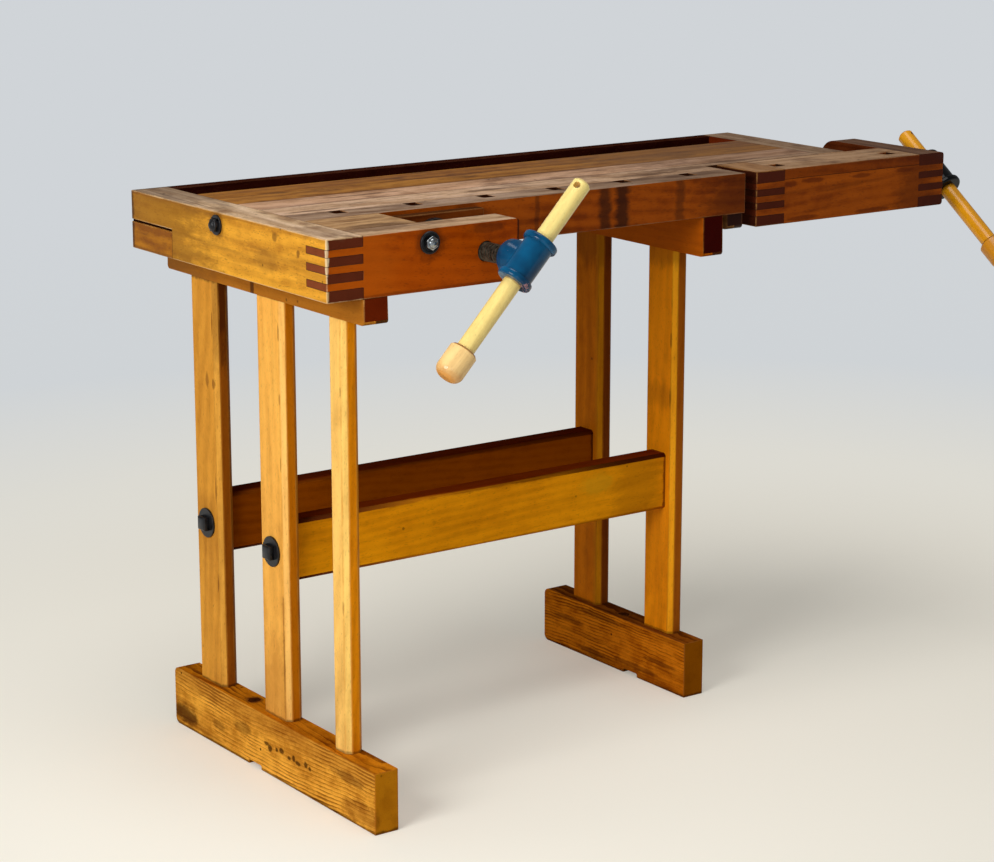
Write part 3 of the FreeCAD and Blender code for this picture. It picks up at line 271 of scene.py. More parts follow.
def wood(name, timber, grain, centre, seed, faces, stains=(), spots=(), bands=None):
    """Varnished wood. faces gives colours by name: base, end, worn, and a colour per face way, which is
    partly painted light and shade on the faces that look that way.
    stains are (way, place along it, half width, strength, colour, face way if it keeps to one), spots
    are (point, radii, strength, colour, or None for a knot), and bands tint a top across Y."""
    look = TIMBERS[timber]
    material, add = start(name)
    coords = add("TexCoord")
    place, normal = coords.outputs["Object"], coords.outputs["Normal"]
    turn = grain.rotation_difference(X).to_euler()
    turn.y, turn.z = turn.y + PITH_TILT * (-1) ** seed, turn.z + PITH_TILT / 2
    shift = -(turn.to_matrix() @ centre)
    away = Vector((0.37 * seed % 1.0, PITH_BESIDE + 0.013 * (seed % 5), PITH_BELOW + 0.011 * (seed % 7)))
    along = add("Mapping", inputs={"Vector": place, "Rotation": turn, "Location": shift + away})
    noise = {}
    for key, (lengthwise, across, detail, roughness) in NOISES.items():
        stretched = add("VectorMath", "MULTIPLY", [along, (lengthwise, across, across)])
        noise[key] = add("TexNoise", inputs={"Vector": stretched, "Scale": 1.0, "Detail": detail,
                                             "Roughness": roughness})
    bend = (0, look["bend"], look["bend"])
    bent = add("VectorMath", "MULTIPLY_ADD", [noise["drift"].outputs["Color"], bend, along])
    rings = add("TexWave", {"wave_type": "RINGS", "rings_direction": "X", "wave_profile": look["profile"]},
                {"Vector": bent, "Scale": 1 / (RINGS_PER_METRE * look["ring_mm"] * MM),
                 "Distortion": 2.4, "Detail": 3.0, "Detail Scale": 0.5}).outputs["Fac"]
    weights = look["mix"]
    middle = 0.5 + look["ring"] / 2 - sum(weights.values()) / 2
    tone = add("Math", "MULTIPLY_ADD", [rings, -look["ring"], middle])
    for key, weight in weights.items():
        tone = add("Math", "MULTIPLY_ADD", [noise[key], weight, tone])

    def shades(code, pattern):
        """A colour that a pattern darkens and lightens."""
        stops = [(0.0, colour(code, DARK_GAIN)), (0.5, colour(code)), (1.0, colour(code, LIGHT_GAIN))]
        return add("ValToRGB", {"stops": stops}, [pattern])

    def facing(way):
        """A mask of the faces that look a way."""
        looks = add("VectorMath", "DOT_PRODUCT", [normal, FACE_WAYS[way]])
        return add("MapRange", (), [looks, *(CHAMFER_TURN if way == "chamfer" else FACE_TURN)])

    ends = add("Math", "ABSOLUTE", [add("VectorMath", "DOT_PRODUCT", [normal, grain])])
    layers = []                              # (mask, the colour that it lays on)
    for way, code in faces.items():
        if way == "end":
            layers.append((add("MapRange", (), [ends, *FACE_TURN]), shades(code, noise["grime"])))
        elif way in FACE_WAYS:
            # a face way's colour is partly painted light and shade: lighter towards the key lamp, darker away
            # from it, lightest on a chamfer
            mask, shade = facing(way), shades(code, tone)
            if way == "top":
                top_mask = mask
            if way == "top" and bands:
                across = add("SeparateXYZ", (), [place]).outputs["Y"]
                band = add("MapRange", (), [across, bands["from"], bands["to"]])
                tints = add("ValToRGB", {"stops": bands["stops"], "interpolation": "CONSTANT"}, [band])
                shade = add("Mix", {"data_type": "RGBA", "blend_type": "MULTIPLY"},
                            {"Factor": 1.0, "A": shade, "B": tints})
            layers.append((mask, shade))
    if "top" in faces:
        for key, low, high, strength in (("grime", 0.53, 0.70, 0.6), ("cracks", 0.58, 0.67, 0.75)):
            dirt = add("MapRange", (), [noise[key], low, high, 0, strength])
            layers.append((add("Math", "MULTIPLY", [dirt, top_mask]), colour(OLD_DIRT)))

    flecks = add("MapRange", (), [noise["flecks"], 0.62, 0.70, 0, look["flecks"]])
    layers.append((flecks, colour(FLECK)))
    sides = add("MapRange", (), [ends, 0.8, 0.6])
    patchy = add("Math", "ADD", [noise["clouds"], noise["grime"]])
    patchy = add("Math", "MULTIPLY_ADD", [patchy, PATCHES, -PATCHES])
    late = add("Math", "ADD", [rings, patchy])
    for pattern, low, high, strength in ((noise["streaks"], 0.53, 0.68, look["streaks"]),
                                         (late, 0.55, 0.95, look["late"])):
        lines = add("MapRange", (), [pattern, low, high, 0, strength])
        layers.append((add("Math", "MULTIPLY", [lines, sides]), colour(faces["base"], STREAK_GAIN)))

    for way, run, half, strength, code, *side in stains:
        reach = add("VectorMath", "DOT_PRODUCT", [place, way])
        ragged = add("Math", "MULTIPLY_ADD", [noise["rub"], RAGGED * half, reach])
        gap = add("Math", "SUBTRACT", [ragged, run + RAGGED / 2 * half])
        gap = add("Math", "ABSOLUTE", [gap])
        mask = add("MapRange", {"interpolation_type": "SMOOTHSTEP"},
                   [gap, half, half * STAIN_CORE, 0, strength])
        if side:
            mask = add("Math", "MULTIPLY", [mask, facing(side[0])])
        layers.append((mask, colour(code)))
    for point, radii, strength, code in spots:
        offset = add("VectorMath", "SUBTRACT", [place, point])
        offset = add("VectorMath", "DIVIDE", [offset, radii])
        far = add("VectorMath", "LENGTH", [offset])
        far = add("Math", "MULTIPLY_ADD", [noise["mottle"], SPOT_NOISE, far])
        mask = add("MapRange", (), [far, *SPOT_EDGE, 0, strength])
        if code:
            layers.append((mask, colour(code)))
        else:
            knot_rings = add("MapRange", (), [far, *KNOT_SPAN])
            layers.append((mask, add("ValToRGB", {"stops": KNOT}, [knot_rings])))

    cells = add("TexVoronoi", inputs={"Vector": place, "Scale": DENTS_PER_METRE})
    dent = add("MapRange", (), [cells, 0.075, 0.035])
    few = add("MapRange", (), [cells.outputs["Color"], 0.45, 0.55, 0, look["dents"]])
    dent = add("Math", "MULTIPLY", [dent, few])
    layers.append((dent, colour(GRIME_AND_SHADE)))
    # an inside face is painted nearly black, as painted shade in holes and gaps
    for attribute, code, low, high, least in (("wear", faces["worn"], 0.38, 0.68, 0.1),
                                              ("seam", GRIME_AND_SHADE, 0.1, 0.3, 0.6),
                                              ("inside", UNLIT, 0.0, 0.1, 0.9)):
        marked = add("Attribute", {"attribute_name": attribute}).outputs["Fac"]
        rubbed = add("MapRange", (), [noise["rub"], low, high, least, 0.8])
        layers.append((add("Math", "MULTIPLY", [rubbed, marked]), colour(code)))

    paint = shades(faces["base"], tone)
    for mask, cover in layers:
        paint = add("Mix", {"data_type": "RGBA"}, {"Factor": mask, "A": paint, "B": cover})
    gloss = add("MapRange", (), [noise["clouds"], 0.3, 0.7, *look["rough"]])
    if "top" in faces:
        gloss = add("Math", "MULTIPLY_ADD", [top_mask, TOP_ROUGHER, gloss])
    relief = add("Math", "MULTIPLY_ADD", [dent, DENT_DEPTH, tone])
    relief = add("Math", "MULTIPLY_ADD", [flecks, FLECK_DEPTH, relief])
    sheen = 0.0 if "upper" in faces else look["sheen"]
    finish(add, paint, gloss, relief, RELIEF_STRENGTH, RELIEF, {"Specular IOR Level": sheen})
    return material


print("wood is ready")

# %% [markdown]
# ## Metal and enamel
# The bolts are black iron, rough from the forge and a little rusty. The tie bolt's nut was plated
# and has been polished by hands. The vise screws are cut steel, grey-brown with old oil. The two
# hubs are malleable pipe fittings dipped in enamel: thick, glossy, slightly wavy, and chipped at a
# rim down to pink primer and bare iron.

# %% Metals
METALS = {
    # name: (dark, light, metallic, roughness range, rust, changes per metre, relief)
    "forged_black_iron": ("#060607", "#1e1f22", 0.25, (0.26, 0.5), "#33190e", 160, 0.3),
    "grey_cast_iron": ("#2e2d2b", "#4a4744", 0.6, (0.45, 0.65), "#4a2a18", 220, 0.35),
    "plated_steel": ("#6e7478", "#b4babc", 1.0, (0.14, 0.3), "#5a5650", 160, 0.1),
    "oiled_screw_steel": ("#3c382f", "#777262", 0.85, (0.28, 0.5), "#33261a", 200, 0.2),
}
metals = {}
for name, (dark, light, metallic, rough, rust, scale, relief) in METALS.items():
    material, add = start(name)
    place = add("TexCoord").outputs["Object"]
    cloud = add("TexNoise", inputs={"Vector": place, "Scale": float(scale), "Detail": 5.0, "Roughness": 0.6})
    paint = add("ValToRGB", {"stops": [(0.35, dark), (0.65, light)]}, [cloud])
    specks = add("TexNoise", inputs={"Vector": place, "Scale": scale * 2.3, "Detail": 4.0})
    mask = add("MapRange", (), [specks, 0.56, 0.7, 0, 0.6])
    paint = add("Mix", {"data_type": "RGBA"}, {"Factor": mask, "A": paint, "B": colour(rust)})
    gloss = add("MapRange", (), [cloud, 0.3, 0.7, *rough])
    finish(add, paint, gloss, cloud, relief, 0.3 * MM, {"Metallic": metallic})
    metals[name] = material
black_iron, grey_iron, plated_steel, screw_steel = metals.values()
print("metals:", ", ".join(metals))

# %% Enamel
PRIMER, BARE_IRON = "#b98a92", "#4a2c30"
CHIPPED = (-7 * MM, -1 * MM)         # from how far inside a rim it is chipped more and more


def enamel(name, dark, light, chips=None, sheen=0.28):
    """Glossy enamel on cast iron. chips is (a point on a rim, the way out of it) to chip there."""
    material, add = start(name)
    place = add("TexCoord").outputs["Object"]
    waves = add("TexNoise", inputs={"Vector": place, "Scale": 32.0, "Detail": 2.0})
    paint = add("ValToRGB", {"stops": [(0.2, dark), (0.75, light)]}, [waves])
    flakes = add("TexNoise", inputs={"Vector": place, "Scale": 230.0, "Detail": 4.0, "Roughness": 0.6})
    if chips:
        point, way = chips
        offset = add("VectorMath", "SUBTRACT", [place, point])
        reach = add("VectorMath", "DOT_PRODUCT", [offset, way])
        rim = add("MapRange", (), [reach, *CHIPPED, 0, 0.17])
        flakes = add("Math", "ADD", [flakes, rim])
    primer = add("MapRange", (), [flakes, 0.735, 0.75])
    iron = add("MapRange", (), [flakes, 0.79, 0.81])
    for mask, code in ((primer, PRIMER), (iron, BARE_IRON)):
        paint = add("Mix", {"data_type": "RGBA"}, {"Factor": mask, "A": paint, "B": colour(code)})
    gloss = add("MapRange", (), [primer, 0, 1, 0.12, 0.6])
    height = add("Math", "MULTIPLY_ADD", [primer, -0.5, waves])
    finish(add, paint, gloss, height, 0.45, 0.5 * MM, {"Specular IOR Level": sheen})
    return material


print("enamel is ready")

# %% [markdown]
# ## Easing the arrises
# No edge on an old bench is sharp. A copy of each board is welded, its flat faces are cleaned, and
# its edges are bevelled: wide where an arris is open to hands and tools, and only a hairline where
# the board meets its neighbour flush, which leaves the fine dark line of a glued joint. An edge
# counts as a joint if another solid touches its middle. A few corners were rounded over much more
# by the maker. The bevel's own faces are then marked as wear or seam, for the wood to read.

# %% Copies with eased edges
ROUNDED = 6 * MM            # a corner that the maker rounded over
ARRIS = 1.6 * MM            # width of a rounded open arris
JOINT = 0.45 * MM           # width of a joint's hairline
SHARP = math.radians(32)
BORE_STEP = 2.2 * MM         # shorter edges belong to the rims of bores, which stay crisp
TOUCH = 0.3 * MM
FLAT = math.radians(1)
SOFT_CORNERS = {
    # node: pairs of box sides whose common edge is rounded over
    "vise_arm": ("x+z+",),
    "left_bearer": ("y-z-", "y+z-"), "right_bearer": ("y-z-", "y+z-"),
    "tail_vise_end_block": ("x+y+", "x-y+", "y+z+"),
    "front_rail": ("x+z+", "x+z-"), "back_rail": ("x+z+", "x+z-"),
}


def select_only(obj):
    for other in bpy.context.selected_objects:
        other.select_set(False)
    obj.select_set(True)
    bpy.context.view_layer.objects.active = obj


surfaces = {}
for node_name, node in nodes.items():
    corners = [v.co.copy() for v in node.data.vertices]
    surfaces[node_name] = BVHTree.FromPolygons(corners, [p.vertices[:] for p in node.data.polygons])


def touches_another(point, own, gap=TOUCH):
    return any(tree.find_nearest(point, gap)[0] is not None
               for other, tree in surfaces.items() if other != own)


def clean_copy(node_name, name):
    """A welded copy of a frame solid, with its flat faces whole again."""
    copy = bpy.data.objects.new(name, nodes[node_name].data.copy())
    bpy.context.scene.collection.objects.link(copy)
    copy.data.materials.clear()
    select_only(copy)
    bpy.ops.object.mode_set(mode="EDIT")
    bpy.ops.mesh.select_all(action="SELECT")
    bpy.ops.mesh.remove_doubles(threshold=0.01 * MM)
    bpy.ops.mesh.dissolve_limited(angle_limit=FLAT)
    bpy.ops.object.mode_set(mode="OBJECT")
    if copy.data.has_custom_normals:
        bpy.ops.mesh.customdata_custom_splitnormals_clear()
    return copy


def apply_all(obj):
    select_only(obj)
    for modifier in list(obj.modifiers):
        bpy.ops.object.modifier_apply(modifier=modifier.name)


def mark(obj, name, chosen):
    """Write a face attribute that is 1 on the chosen faces, for the material to read."""
    layer = obj.data.attributes.new(name, "FLOAT", "FACE")
    layer.data.foreach_set("value", [1.0 if chosen(face) else 0.0 for face in obj.data.polygons])


def ease(obj, own, arris=ARRIS, shortest=BORE_STEP):
    """Bevel the sharp edges, widely in the open and finely at joints, and mark the bevels."""
    mesh = obj.data
    low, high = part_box(own)
    weights = mesh.attributes.new("bevel_weight_edge", "FLOAT", "EDGE")
    sides = {}
    for polygon in mesh.polygons:
        for key in polygon.edge_keys:
            sides.setdefault(key, []).append(polygon.normal)
    for edge in mesh.edges:
        normals = sides.get(tuple(sorted(edge.vertices)), [])
        start_point, end_point = (mesh.vertices[corner].co for corner in edge.vertices)
        if (len(normals) != 2 or normals[0].angle(normals[1]) < SHARP
                or (end_point - start_point).length < shortest):
            continue
        middle = (start_point + end_point) / 2
        width = JOINT if touches_another(middle, own) else arris
        for corner in SOFT_CORNERS.get(own, ()):
            sides_met = [abs(middle["xyz".index(axis)] - (low, high)[sign == "+"]["xyz".index(axis)])
                         for axis, sign in (corner[:2], corner[2:])]
            if max(sides_met) < TOUCH:
                width = ROUNDED
        weights.data[edge.index].value = width / ROUNDED
    mesh.materials.append(None)
    mesh.materials.append(None)
    bevel = obj.modifiers.new("eased", "BEVEL")
    bevel.limit_method = "WEIGHT"
    bevel.width = ROUNDED
    bevel.segments = 3
    bevel.material = 1
    bevel.miter_outer = "MITER_ARC"
    bevel.use_clamp_overlap = False
    bpy.context.view_layer.update()
    eased = obj.evaluated_get(bpy.context.evaluated_depsgraph_get())
    for corner in eased.bound_box:
        if any(not low[i] - TOUCH < corner[i] < high[i] + TOUCH for i in range(3)):
            bevel.use_clamp_overlap = True       # it threw a spike, so overlaps are held back
    if bevel.use_clamp_overlap:
        print(own, "is bevelled with its overlaps held back")
    flat = obj.modifiers.new("flat", "WEIGHTED_NORMAL")
    flat.keep_sharp = False
    select_only(obj)
    bpy.ops.object.shade_smooth()
    apply_all(obj)
    joined = {face.index for face in mesh.polygons
              if face.material_index == 1 and touches_another(face.center, own, JOINT)}
    mark(obj, "seam", lambda face: face.index in joined)
    mark(obj, "wear", lambda face: face.material_index == 1 and face.index not in joined)
    mesh.materials.clear()
    mesh.polygons.foreach_set("material_index", [0] * len(mesh.polygons))


def coat(obj, material):
    obj.data.materials.clear()
    obj.data.materials.append(material)


def stand_for(obj, node_name, material):
    """Coat a finished piece and let it ride, and be shown, in place of a frame solid."""
    coat(obj, material)
    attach(obj, nodes[node_name]["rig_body"])
    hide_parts(node_name)


print("surfaces to touch:", len(surfaces))

# %% [markdown]
# ## The boards
# Each board has its own seed, so that no two share a pattern, and its grain runs the way the maker laid it:
# along the bench in the top, front to back in the caps, bearers, feet and jaw blocks, upright in the legs.
# The colours by face way are partly sunned wood and partly painted light and shade: faces turned towards the
# key lamp on the left are painted golden, faces turned from it red-brown. The top was scrubbed to grey.

# %% Colours of the boards
TIMBER_OF = {
    # slot: timber
    "end_beech": "beech", "top_beech": "beech", "tray_wood": "beech", "leg_wood": "plain_beech",
    "foot_softwood": "pine",
}
BOARDS = {
    # node: (grain, slot, colour, colour of its ends, of its worn arrises, and of faces by their way, which
    # paint light and shade too)
    "left_end_cap": (Y, "end_beech", "#b8792a", "#5c2612", "#dcb888", {"left": "#d8962a", "top": "#d6b38c"}),
    "left_cap_filler": (Y, "end_beech", "#94601d", "#4a2010", "#b98a50", {"left": "#aa6a10"}),
    "right_end_cap": (Y, "end_beech", "#8a420c", "#46180a", "#a87848", {"left": "#6a2408", "top": "#94765a"}),
    "right_cap_filler": (Y, "end_beech", "#8a420c", "#46180a", "#a87848", {}),
    "vise_arm": (X, "end_beech", "#a04e0c", "#7a3a18", "#c09468", {"front": "#a64601", "top": "#c29d78"}),
    "arm_spacer": (X, "end_beech", "#8a420c", "#5c2612", "#a88058", {"top": "#b58b5d"}),
    "front_beam": (X, "top_beech", "#7c3006", "#4a1e0c", "#9a6a3c", {"front": "#984608", "top": "#a4856a"}),
    "main_slab": (X, "top_beech", "#7a3408", "#4a1e0c", "#a88058", {"top": "#cdaa8a"}),
    "tray_panel": (X, "tray_wood", "#2c0e06", "#1a0806", "#3a1a10", {"upper": "#4a2a1a"}),
    "tray_back_board": (X, "tray_wood", "#3c1608", "#1a0806", "#4a2a1c",
                        {"front": "#2c0b05", "upper": "#3a1a10"}),
    "fixed_jaw_block": (Y, "end_beech", "#5a3014", "#2e120a", "#7a4a28", {"left": "#8a6238"}),
    "front_vise_chop": (X, "end_beech", "#5a2408", "#3a140a", "#8a6038",
                        {"front": "#6a300c", "upper": "#4e2a12"}),
    "tail_vise_jaw_block": (Y, "end_beech", "#6e2e0a", "#4c1c0c", "#a0703c",
                            {"top": "#a67a50", "left": "#3a160a"}),
    "tail_vise_front_board": (X, "end_beech", "#7c3806", "#4c1c0c", "#8c5428", {"front": "#9a480a"}),
    "tail_vise_top_board": (X, "top_beech", "#7c3806", "#4c1c0c", "#8c6038",
                            {"front": "#803806", "top": "#b08a66"}),
    "tail_vise_end_block": (Y, "end_beech", "#5c280c", "#4a1c0c", "#6e4224", {"top": "#6c4c36"}),
    "tail_vise_guide_bar": (X, "end_beech", "#9a6020", "#5c3012", "#b08040", {}),
    "tail_vise_runner": (X, "end_beech", "#9a6020", "#5c3012", "#b08040", {}),
    "left_bearer": (Y, "leg_wood", "#8f5722", "#651e04", "#c08a4c", {"left": "#a8681c"}),
    "right_bearer": (Y, "leg_wood", "#8a440a", "#390502", "#a06428", {"left": "#b05606"}),
    "left_back_leg": (Z, "leg_wood", "#b4762a", "#6a3a14", "#b07428",
                      {"left": "#d89434", "front": "#924d0b", "chamfer": "#e0a040"}),
    "left_middle_leg": (Z, "leg_wood", "#c8822a", "#6a3a14", "#d49440",
                        {"left": "#f4b04e", "front": "#c06c06", "chamfer": "#fcc066"}),
    "left_front_leg": (Z, "leg_wood", "#d08a30", "#6a3a14", "#d89844",
                       {"left": "#fcc668", "front": "#e88c0c", "chamfer": "#ffd070"}),
    # painted darker than the other legs, as painted shade from the rails and the left trestle
    "right_back_leg": (Z, "leg_wood", "#9a520e", "#5a2c10", "#a05c14",
                       {"left": "#cc7008", "front": "#7a3806", "chamfer": "#c8800e"}),
    "right_front_leg": (Z, "leg_wood", "#b8660e", "#5a2c10", "#c07818",
                        {"left": "#ec8c0c", "front": "#a4560e", "chamfer": "#f8a41c"}),
    # the rails' dark upper colours are painted shade
    "front_rail": (X, "leg_wood", "#b46c0e", "#5c2a0e", "#8a4a10", {"front": "#e8940c", "upper": "#742a04"}),
    "back_rail": (X, "leg_wood", "#6e3206", "#4a1e0a", "#5c2a0c", {"front": "#8c4301", "upper": "#5a1e04"}),
    "left_foot": (Y, "foot_softwood", "#b05a1c", "#b87410", "#a4601c",
                  {"left": "#e8a238", "upper": "#cc7812"}),
    "right_foot": (Y, "foot_softwood", "#8a4414", "#8a4c04", "#8a5220",
                   {"left": "#c87010", "upper": "#8c4a10"}),
}
print("boards in the table:", len(BOARDS))

# %% [markdown]
# ## Marks of a long life
# The bench was measured in millimetres from its left cap's outer face, its arm's front face and the floor, so
# marks are written in those numbers and moved into the frame by one function. The scrubbed top was glued up
# from boards that aged differently, in bands across its width. Glue and oil ran down the front beam, and the
# feet show knots and the dents of a row of nails. Dark bands where legs meet bearers and feet, and where the
# feet meet the floor, are grime and painted shade; the dark marks beside the vise arm and at the rails' ends
# are painted shade.

# %% Stains, spots and knots
BENCH_MIDDLE = Vector((659, 207, 0)) * MM
PALE_GLUE, DIM_TOP, WET_TOP = "#e6cfa6", "#6a4c36", "#5a3c26"


def at(x, y, z):
    """A point of the bench in the frame's metres."""
    return Vector((x, y, z)) * MM - BENCH_MIDDLE


SLAB_LOW, SLAB_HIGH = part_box("main_slab")
NAIL_STEP = 15.5            # the dents of a row of nails along the left foot
BANDS = {"main_slab": {
    "from": SLAB_LOW.y, "to": SLAB_HIGH.y,
    "stops": [(0.0, "#fffaf4"), (0.265, "#6a5444"), (0.272, "#fff0e6"), (0.517, "#6a5040"),
              (0.524, "#d4aa56"), (0.757, "#5c421e"), (0.764, "#c89c48")]}}
STAINS = {
    # node: (way, place along it and half width in millimetres, strength, colour, face way if one)
    "front_beam": [
        # the first stain, beside the vise arm, is a painted shadow that the arm throws on the beam
        (X, 322, 26, 0.45, "#5a2406", "front"), (X, 443, 6, 0.45, GRIME_AND_SHADE, "front"),
        (X, 565, 15, 0.75, GRIME_AND_SHADE, "front"), (X, 596, 18, 0.85, GRIME_AND_SHADE, "front"),
        (X, 705, 12, 0.5, GRIME_AND_SHADE, "front"), (X, 830, 110, 0.6, "#3a1204", "front"),
        (X, 740, 300, 0.45, DIM_TOP, "top")],
    "main_slab": [(X, 960, 420, 0.5, DIM_TOP, "top")],
    # the dark line at 304 mm is painted shade along the arm's right end
    "vise_arm": [(X, 50, 80, 0.5, "#bc5a0c", "front"), (X, 304, 2.5, 0.85, GRIME_AND_SHADE),
                 (Z, 738, 4, 0.5, "#6a2a06", "front")],
    # the cap's left face is darker towards the back
    "left_end_cap": [(Y, 480, 240, 0.65, "#75480f", "left"), (Y, 530, 9, 0.7, GRIME_AND_SHADE),
                     (Y, 470, 200, 0.6, "#66503f", "top"), (Z, 819, 7, 0.35, "#7a4410", "left")],
    "left_cap_filler": [(Y, 530, 9, 0.7, GRIME_AND_SHADE), (Z, 737, 5, 0.5, "#5a300c", "left")],
    # the bearer is darker towards the back
    "left_bearer": [(Y, 520, 150, 0.45, "#6a4224"), (Z, 759, 6, 0.5, "#5a3010")],
    # the bands at 702 and 90 mm, where bearers and feet meet the legs, are painted shade as well as grime
    "left_back_leg": [(Z, 702, 7, 0.6, GRIME_AND_SHADE), (Z, 90, 4, 0.6, GRIME_AND_SHADE),
                      (Z, 660, 120, 0.8, "#3a1404", "front"), (Z, 330, 60, 0.25, "#8a4e10", "left")],
    "left_middle_leg": [(Z, 702, 4, 0.5, GRIME_AND_SHADE), (Z, 90, 4, 0.6, GRIME_AND_SHADE),
                        (Z, 130, 90, 0.35, "#a86418", "left")],
    "left_front_leg": [(Z, 702, 4, 0.4, GRIME_AND_SHADE), (Z, 90, 4, 0.5, GRIME_AND_SHADE)],
    "right_back_leg": [(Z, 90, 4, 0.5, GRIME_AND_SHADE), (Z, 690, 60, 0.4, "#4a1e06"),
                       (Y, 405, 9, 0.5, "#b8740e", "left")],
    "right_front_leg": [(Z, 90, 4, 0.5, GRIME_AND_SHADE), (Z, 700, 40, 0.4, "#5a2806"),
                        (Z, 470, 26, 0.25, "#6a3408", "left")],
    # the dark line at 753 mm on each rail is painted shade in the gap where the rail's end meets the leg
    "front_rail": [(Z, 379, 6, 0.7, "#5a2408", "front"), (Z, 292, 4, 0.6, "#5a2408", "front"),
                   (X, 753, 5, 0.8, "#5a2008", "front"), (X, 700, 70, 0.35, "#8a4a08", "front")],
    "back_rail": [(Z, 379, 6, 0.5, GRIME_AND_SHADE, "front"), (X, 753, 5, 0.7, GRIME_AND_SHADE, "front")],
    # the band at 0 mm, where a foot meets the floor, is painted shade as well as grime
    "left_foot": [(Z, 0, 6, 0.7, GRIME_AND_SHADE), (Z, 80, 24, 0.4, "#8a4a14", "left")],
    "right_foot": [(Z, 0, 6, 0.7, GRIME_AND_SHADE)],
    "tail_vise_front_board": [(X, 1190, 60, 0.5, "#4a1a04", "front")],
}
NAIL_DENTS = [
    ((48, 140 + NAIL_STEP * number + aside, 44 + above),
     (4, 4 + 1.5 * (number % 3), 3.5 + 1.5 * (number % 2)), 0.8, "#33180a")
    for number, (aside, above) in enumerate([(3, 0), (-2, 3), (4, -2), (0, 2), (-3, -1), (2, 3), (0, 1),
                                             (4, -2), (-2, 2)])]
SPOTS = {
    # node: (point and radii in millimetres, strength, colour, or None for a knot)
    "left_end_cap": [
        ((0, 0, 796), (4, 3.5, 30), 0.8, PALE_GLUE), ((0, 0, 748), (4, 2.5, 14), 0.6, "#d8b880"),
        ((0, 283, 802), (30, 24, 24), 0.55, "#6a3c10"), ((0, 130, 806), (9, 7, 7), 0.6, "#5a300c"),
        ((0, 70, 792), (9, 5, 6), 0.7, "#6a3c10"), ((0, 153, 770), (14, 34, 20), 0.35, "#8a5a1c"),
        ((30, 60, 820), (30, 60, 10), 0.45, "#6e4c34")],
    "vise_arm": [
        ((100, 40, 820), (60, 22, 12), 0.6, "#62432a"), ((0, 0, 796), (3, 4, 30), 0.8, PALE_GLUE),
        ((160, 0, 801), (26, 9, 24), 0.55, "#5c2808"), ((250, 0, 812), (34, 9, 8), 0.5, "#5c2808")],
    "arm_spacer": [((110, 60, 820), (60, 18, 12), 0.6, WET_TOP)],
    "left_bearer": [((56, 288, 712), (12, 6, 26), 0.85, "#4a260c")],
    "left_back_leg": [((57, 425, 552), (9, 6, 14), 0.6, "#7a4414")],
    "front_rail": [((620, 230, 350), (34, 9, 18), 0.4, "#c8961c")],
    "left_foot": [
        ((48, 500, 22), (9, 40, 16), 0.75, "#3a1a0a"), ((48, 0, 22), (9, 60, 18), 0.35, "#6a3610"),
        ((48, 330, 50), (9, 26, 10), 0.45, "#4a220c"), ((48, 400, 32), (9, 18, 9), 0.4, "#4a220c"),
        ((48, 40, 62), (9, 50, 9), 0.5, "#5a2c0e"), *NAIL_DENTS, ((69, 328, 89), (15, 15, 15), 1.0, None)],
    "right_foot": [
        *(((745, y, z), (9, wide, high), 0.5, "#3e1608")
          for y, z, wide, high in ((470, 52, 46, 6), (405, 12, 40, 7), (290, 18, 60, 6),
                                   (385, 77, 70, 6), (225, 40, 50, 4))),
        ((764, 340, 89), (15, 15, 15), 1.0, None)],
    "tail_vise_front_board": [
        ((x, 146, z), (wide, 9, high), 0.6, "#561c04")
        for x, z, wide, high in ((925, 796, 16, 5), (968, 798, 26, 4), (1066, 797, 22, 4),
                                 (1160, 798, 20, 4), (946, 742, 40, 4), (1092, 741, 46, 4))],
    "main_slab": [
        ((x, y, 820), (wide, deep, 9), 0.6, WET_TOP)
        for x, y, wide, deep in ((120, 215, 60, 5), (700, 222, 60, 12), (780, 240, 90, 14),
                                 (420, 236, 46, 8), (560, 268, 40, 7), (250, 300, 70, 6), (900, 262, 60, 10),
                                 (210, 232, 90, 1.6), (520, 250, 120, 1.4), (330, 276, 60, 1.2),
                                 (800, 290, 100, 1.4), (640, 330, 130, 1.5))],
    "front_beam": [
        ((x, y, 820), (wide, deep, 9), 0.6, WET_TOP)
        for x, y, wide, deep in ((100, 188, 50, 4), (640, 186, 60, 9), (760, 182, 60, 12),
                                 (470, 150, 70, 4))],
}
for marks in STAINS.values():
    marks[:] = [(way, at(*(way * place)).dot(way), half * MM, *look) for way, place, half, *look in marks]
for marks in SPOTS.values():
    marks[:] = [(at(*point), tuple(radius * MM for radius in radii), *look) for point, radii, *look in marks]

LEG_MARKS = {
    # leg: (height, half height, half width) of marks along its front left arris
    "left_back_leg": ((640, 20, 1.6), (548, 9, 4), (392, 22, 1.8), (250, 16, 1.4)),
    "left_middle_leg": ((655, 14, 1.5), (560, 9, 1.6), (468, 12, 1.4), (250, 30, 1.6), (165, 75, 2.2)),
    "left_front_leg": ((600, 9, 1.3), (300, 12, 1.3)),
    "right_front_leg": ((560, 14, 2), (470, 18, 2)),
}
for leg, leg_marks in LEG_MARKS.items():
    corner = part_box(leg)[0]
    for height, tall, wide in leg_marks:
        point = Vector((corner.x, corner.y + 8 * MM, at(0, 0, height).z))
        SPOTS.setdefault(leg, []).append((point, (6 * MM, wide * MM, tall * MM), 0.65, "#5c2a0a"))
print("boards with marks:", len(STAINS.keys() | SPOTS.keys()))

# %% [markdown]
# ## Dressing them
# Each solid is copied, eased, given its wood and set to stand for the frame's own. Faces that look into a dog
# hole, or into the gap between slab and tail vise, are marked as inside and painted nearly black, as painted
# shade in those holes and gaps.

# %% Dress the boards
HOLE_FRONT = SLAB_LOW.y - 22 * MM                    # the dog holes' side towards the front
BEAM_ENDS, VISE_ENDS = 2 * MM, 60 * MM               # what isn't inside at either end


